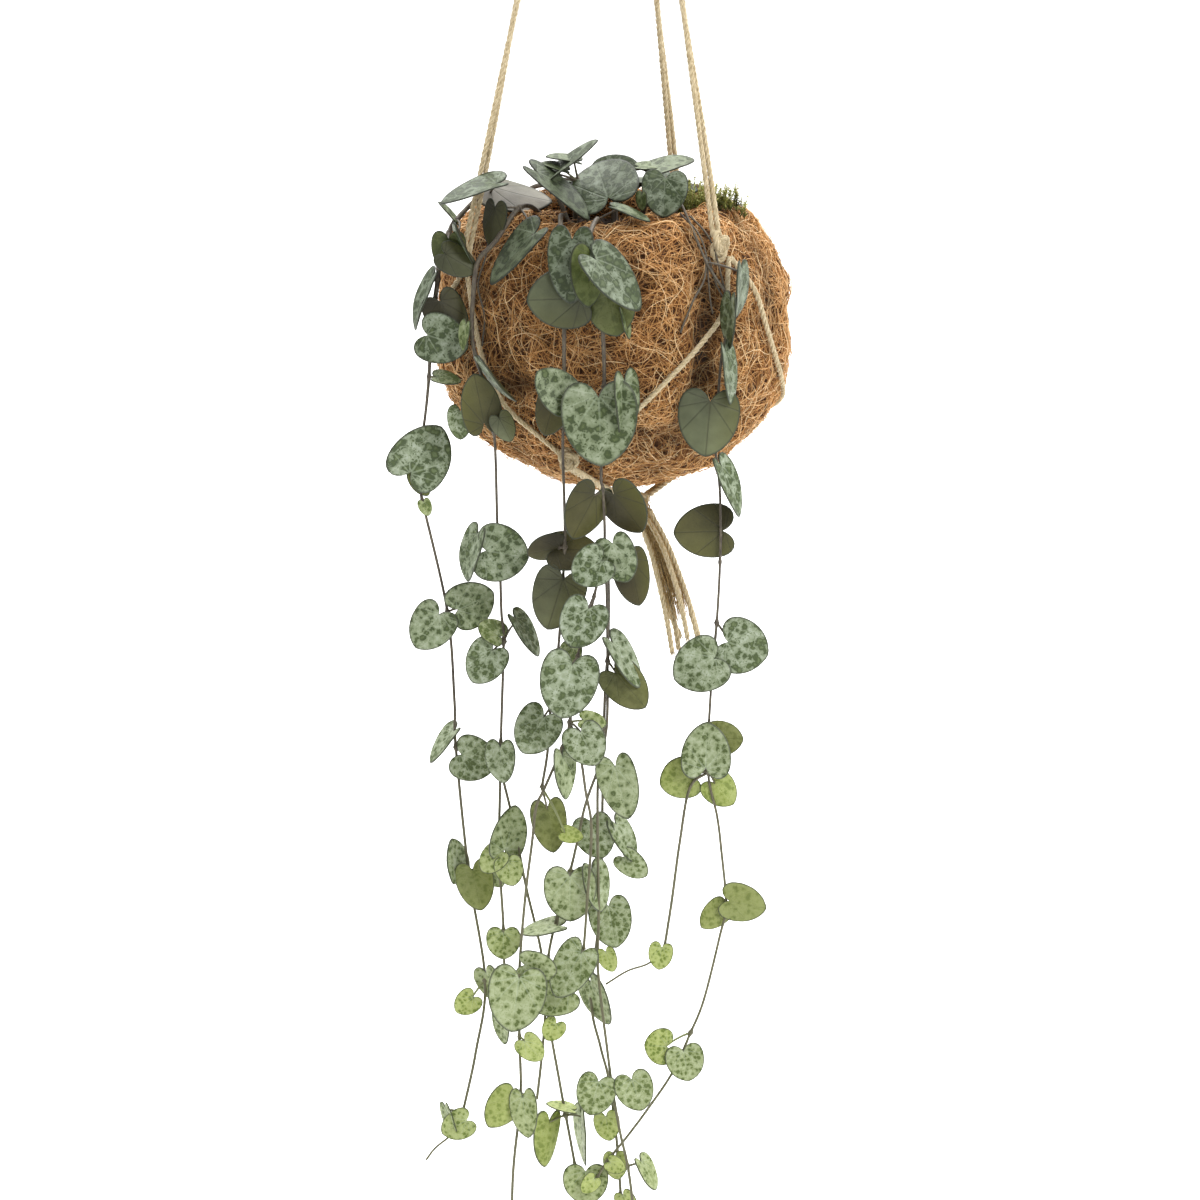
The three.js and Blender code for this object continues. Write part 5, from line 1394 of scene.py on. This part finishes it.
def moss_cushion(name, seed, middle, radius, tallness, shoots, leaves, stalks, stands_for=()):
    draw = np.random.default_rng(seed)
    places, count = 5, shoots + stalks
    t = np.linspace(0, 1, places)
    spread = radius * np.sqrt(draw.uniform(0, 1, count))
    turn = draw.uniform(0, 2 * np.pi, count)
    low, high = tallness
    tall = low + (high - low) * draw.uniform(0, 1, count) ** 1.5 * (1 - 0.3 * spread / radius)
    tall[shoots:] = draw.uniform(0.9 * high, 1.1 * high, stalks)
    x, y = middle[0] + spread * np.cos(turn), middle[1] + spread * np.sin(turn)
    foot = np.stack([x, y, moss_foot(x, y)], axis=1)
    lean = np.stack([0.05 * spread * np.cos(turn), 0.05 * spread * np.sin(turn), np.ones(count)], axis=1)
    lean[:, :2] += draw.normal(0, 0.16, (count, 2))
    way = unit(lean)
    lines = foot[:, None] + way[:, None] * (tall[:, None] * t)[..., None]
    lines[:, :, :2] += draw.normal(0, 0.4, (count, 1, 2)) * (t**2)[None, :, None]
    thick = np.where(np.arange(count) < shoots, 0.28, 0.13)[:, None] * (1 - 0.5 * t)
    verts, faces, _ = tubes(lines, [0.2, 1, 0.1], thick, closed_ends=True)
    tone = np.tile(np.repeat(0.25 + 0.5 * t, 3), count)
    tone[shoots * places * 3 :] = 1.0

    # Each tiny leaf is a folded four-cornered plate off its shoot.
    at = draw.uniform(0.15, 1.0, (shoots, leaves))
    base = foot[:shoots, None] + way[:shoots, None] * (tall[:shoots, None] * at)[..., None]
    bent_by = (lines[:, -1, :2] - (foot + way * tall[:, None])[:, :2])[:shoots, None]
    base[..., :2] += bent_by * (at**2)[..., None]
    around = draw.uniform(0, 2 * np.pi, (shoots, leaves))
    out = unit(np.stack([np.cos(around), np.sin(around), draw.uniform(0.2, 1.0, around.shape)], axis=-1))
    side = unit(np.cross(out, [0, 0, 1.0])) * 0.30
    length = draw.uniform(1.0, 1.9, around.shape)[..., None]
    waist = base + out * 0.45 * length
    corners = np.stack([base, waist + side, base + out * length, waist - side], axis=2)
    corners[:, :, [1, 3], 2] += 0.12
    plates = np.arange(shoots * leaves * 4).reshape(-1, 4).tolist()
    shade = np.clip(0.15 + 0.7 * at + draw.normal(0, 0.08, at.shape), 0, 0.92)
    leaf_part = (corners.reshape(-1, 3), plates, {"tone": np.repeat(shade.reshape(-1), 4)})
    add_piece(name, *gather([(verts, faces, {"tone": tone}), leaf_part]), "moss", MOSS, stands_for)


moss_cushion("moss_cushion", 51, (30, -10), 8.8, (8, 18), 330, 26, 20, ["moss_tuft"])
moss_cushion("moss_on_the_edge", 52, (42, -14), 6.5, (1.5, 11), 42, 26, 2)
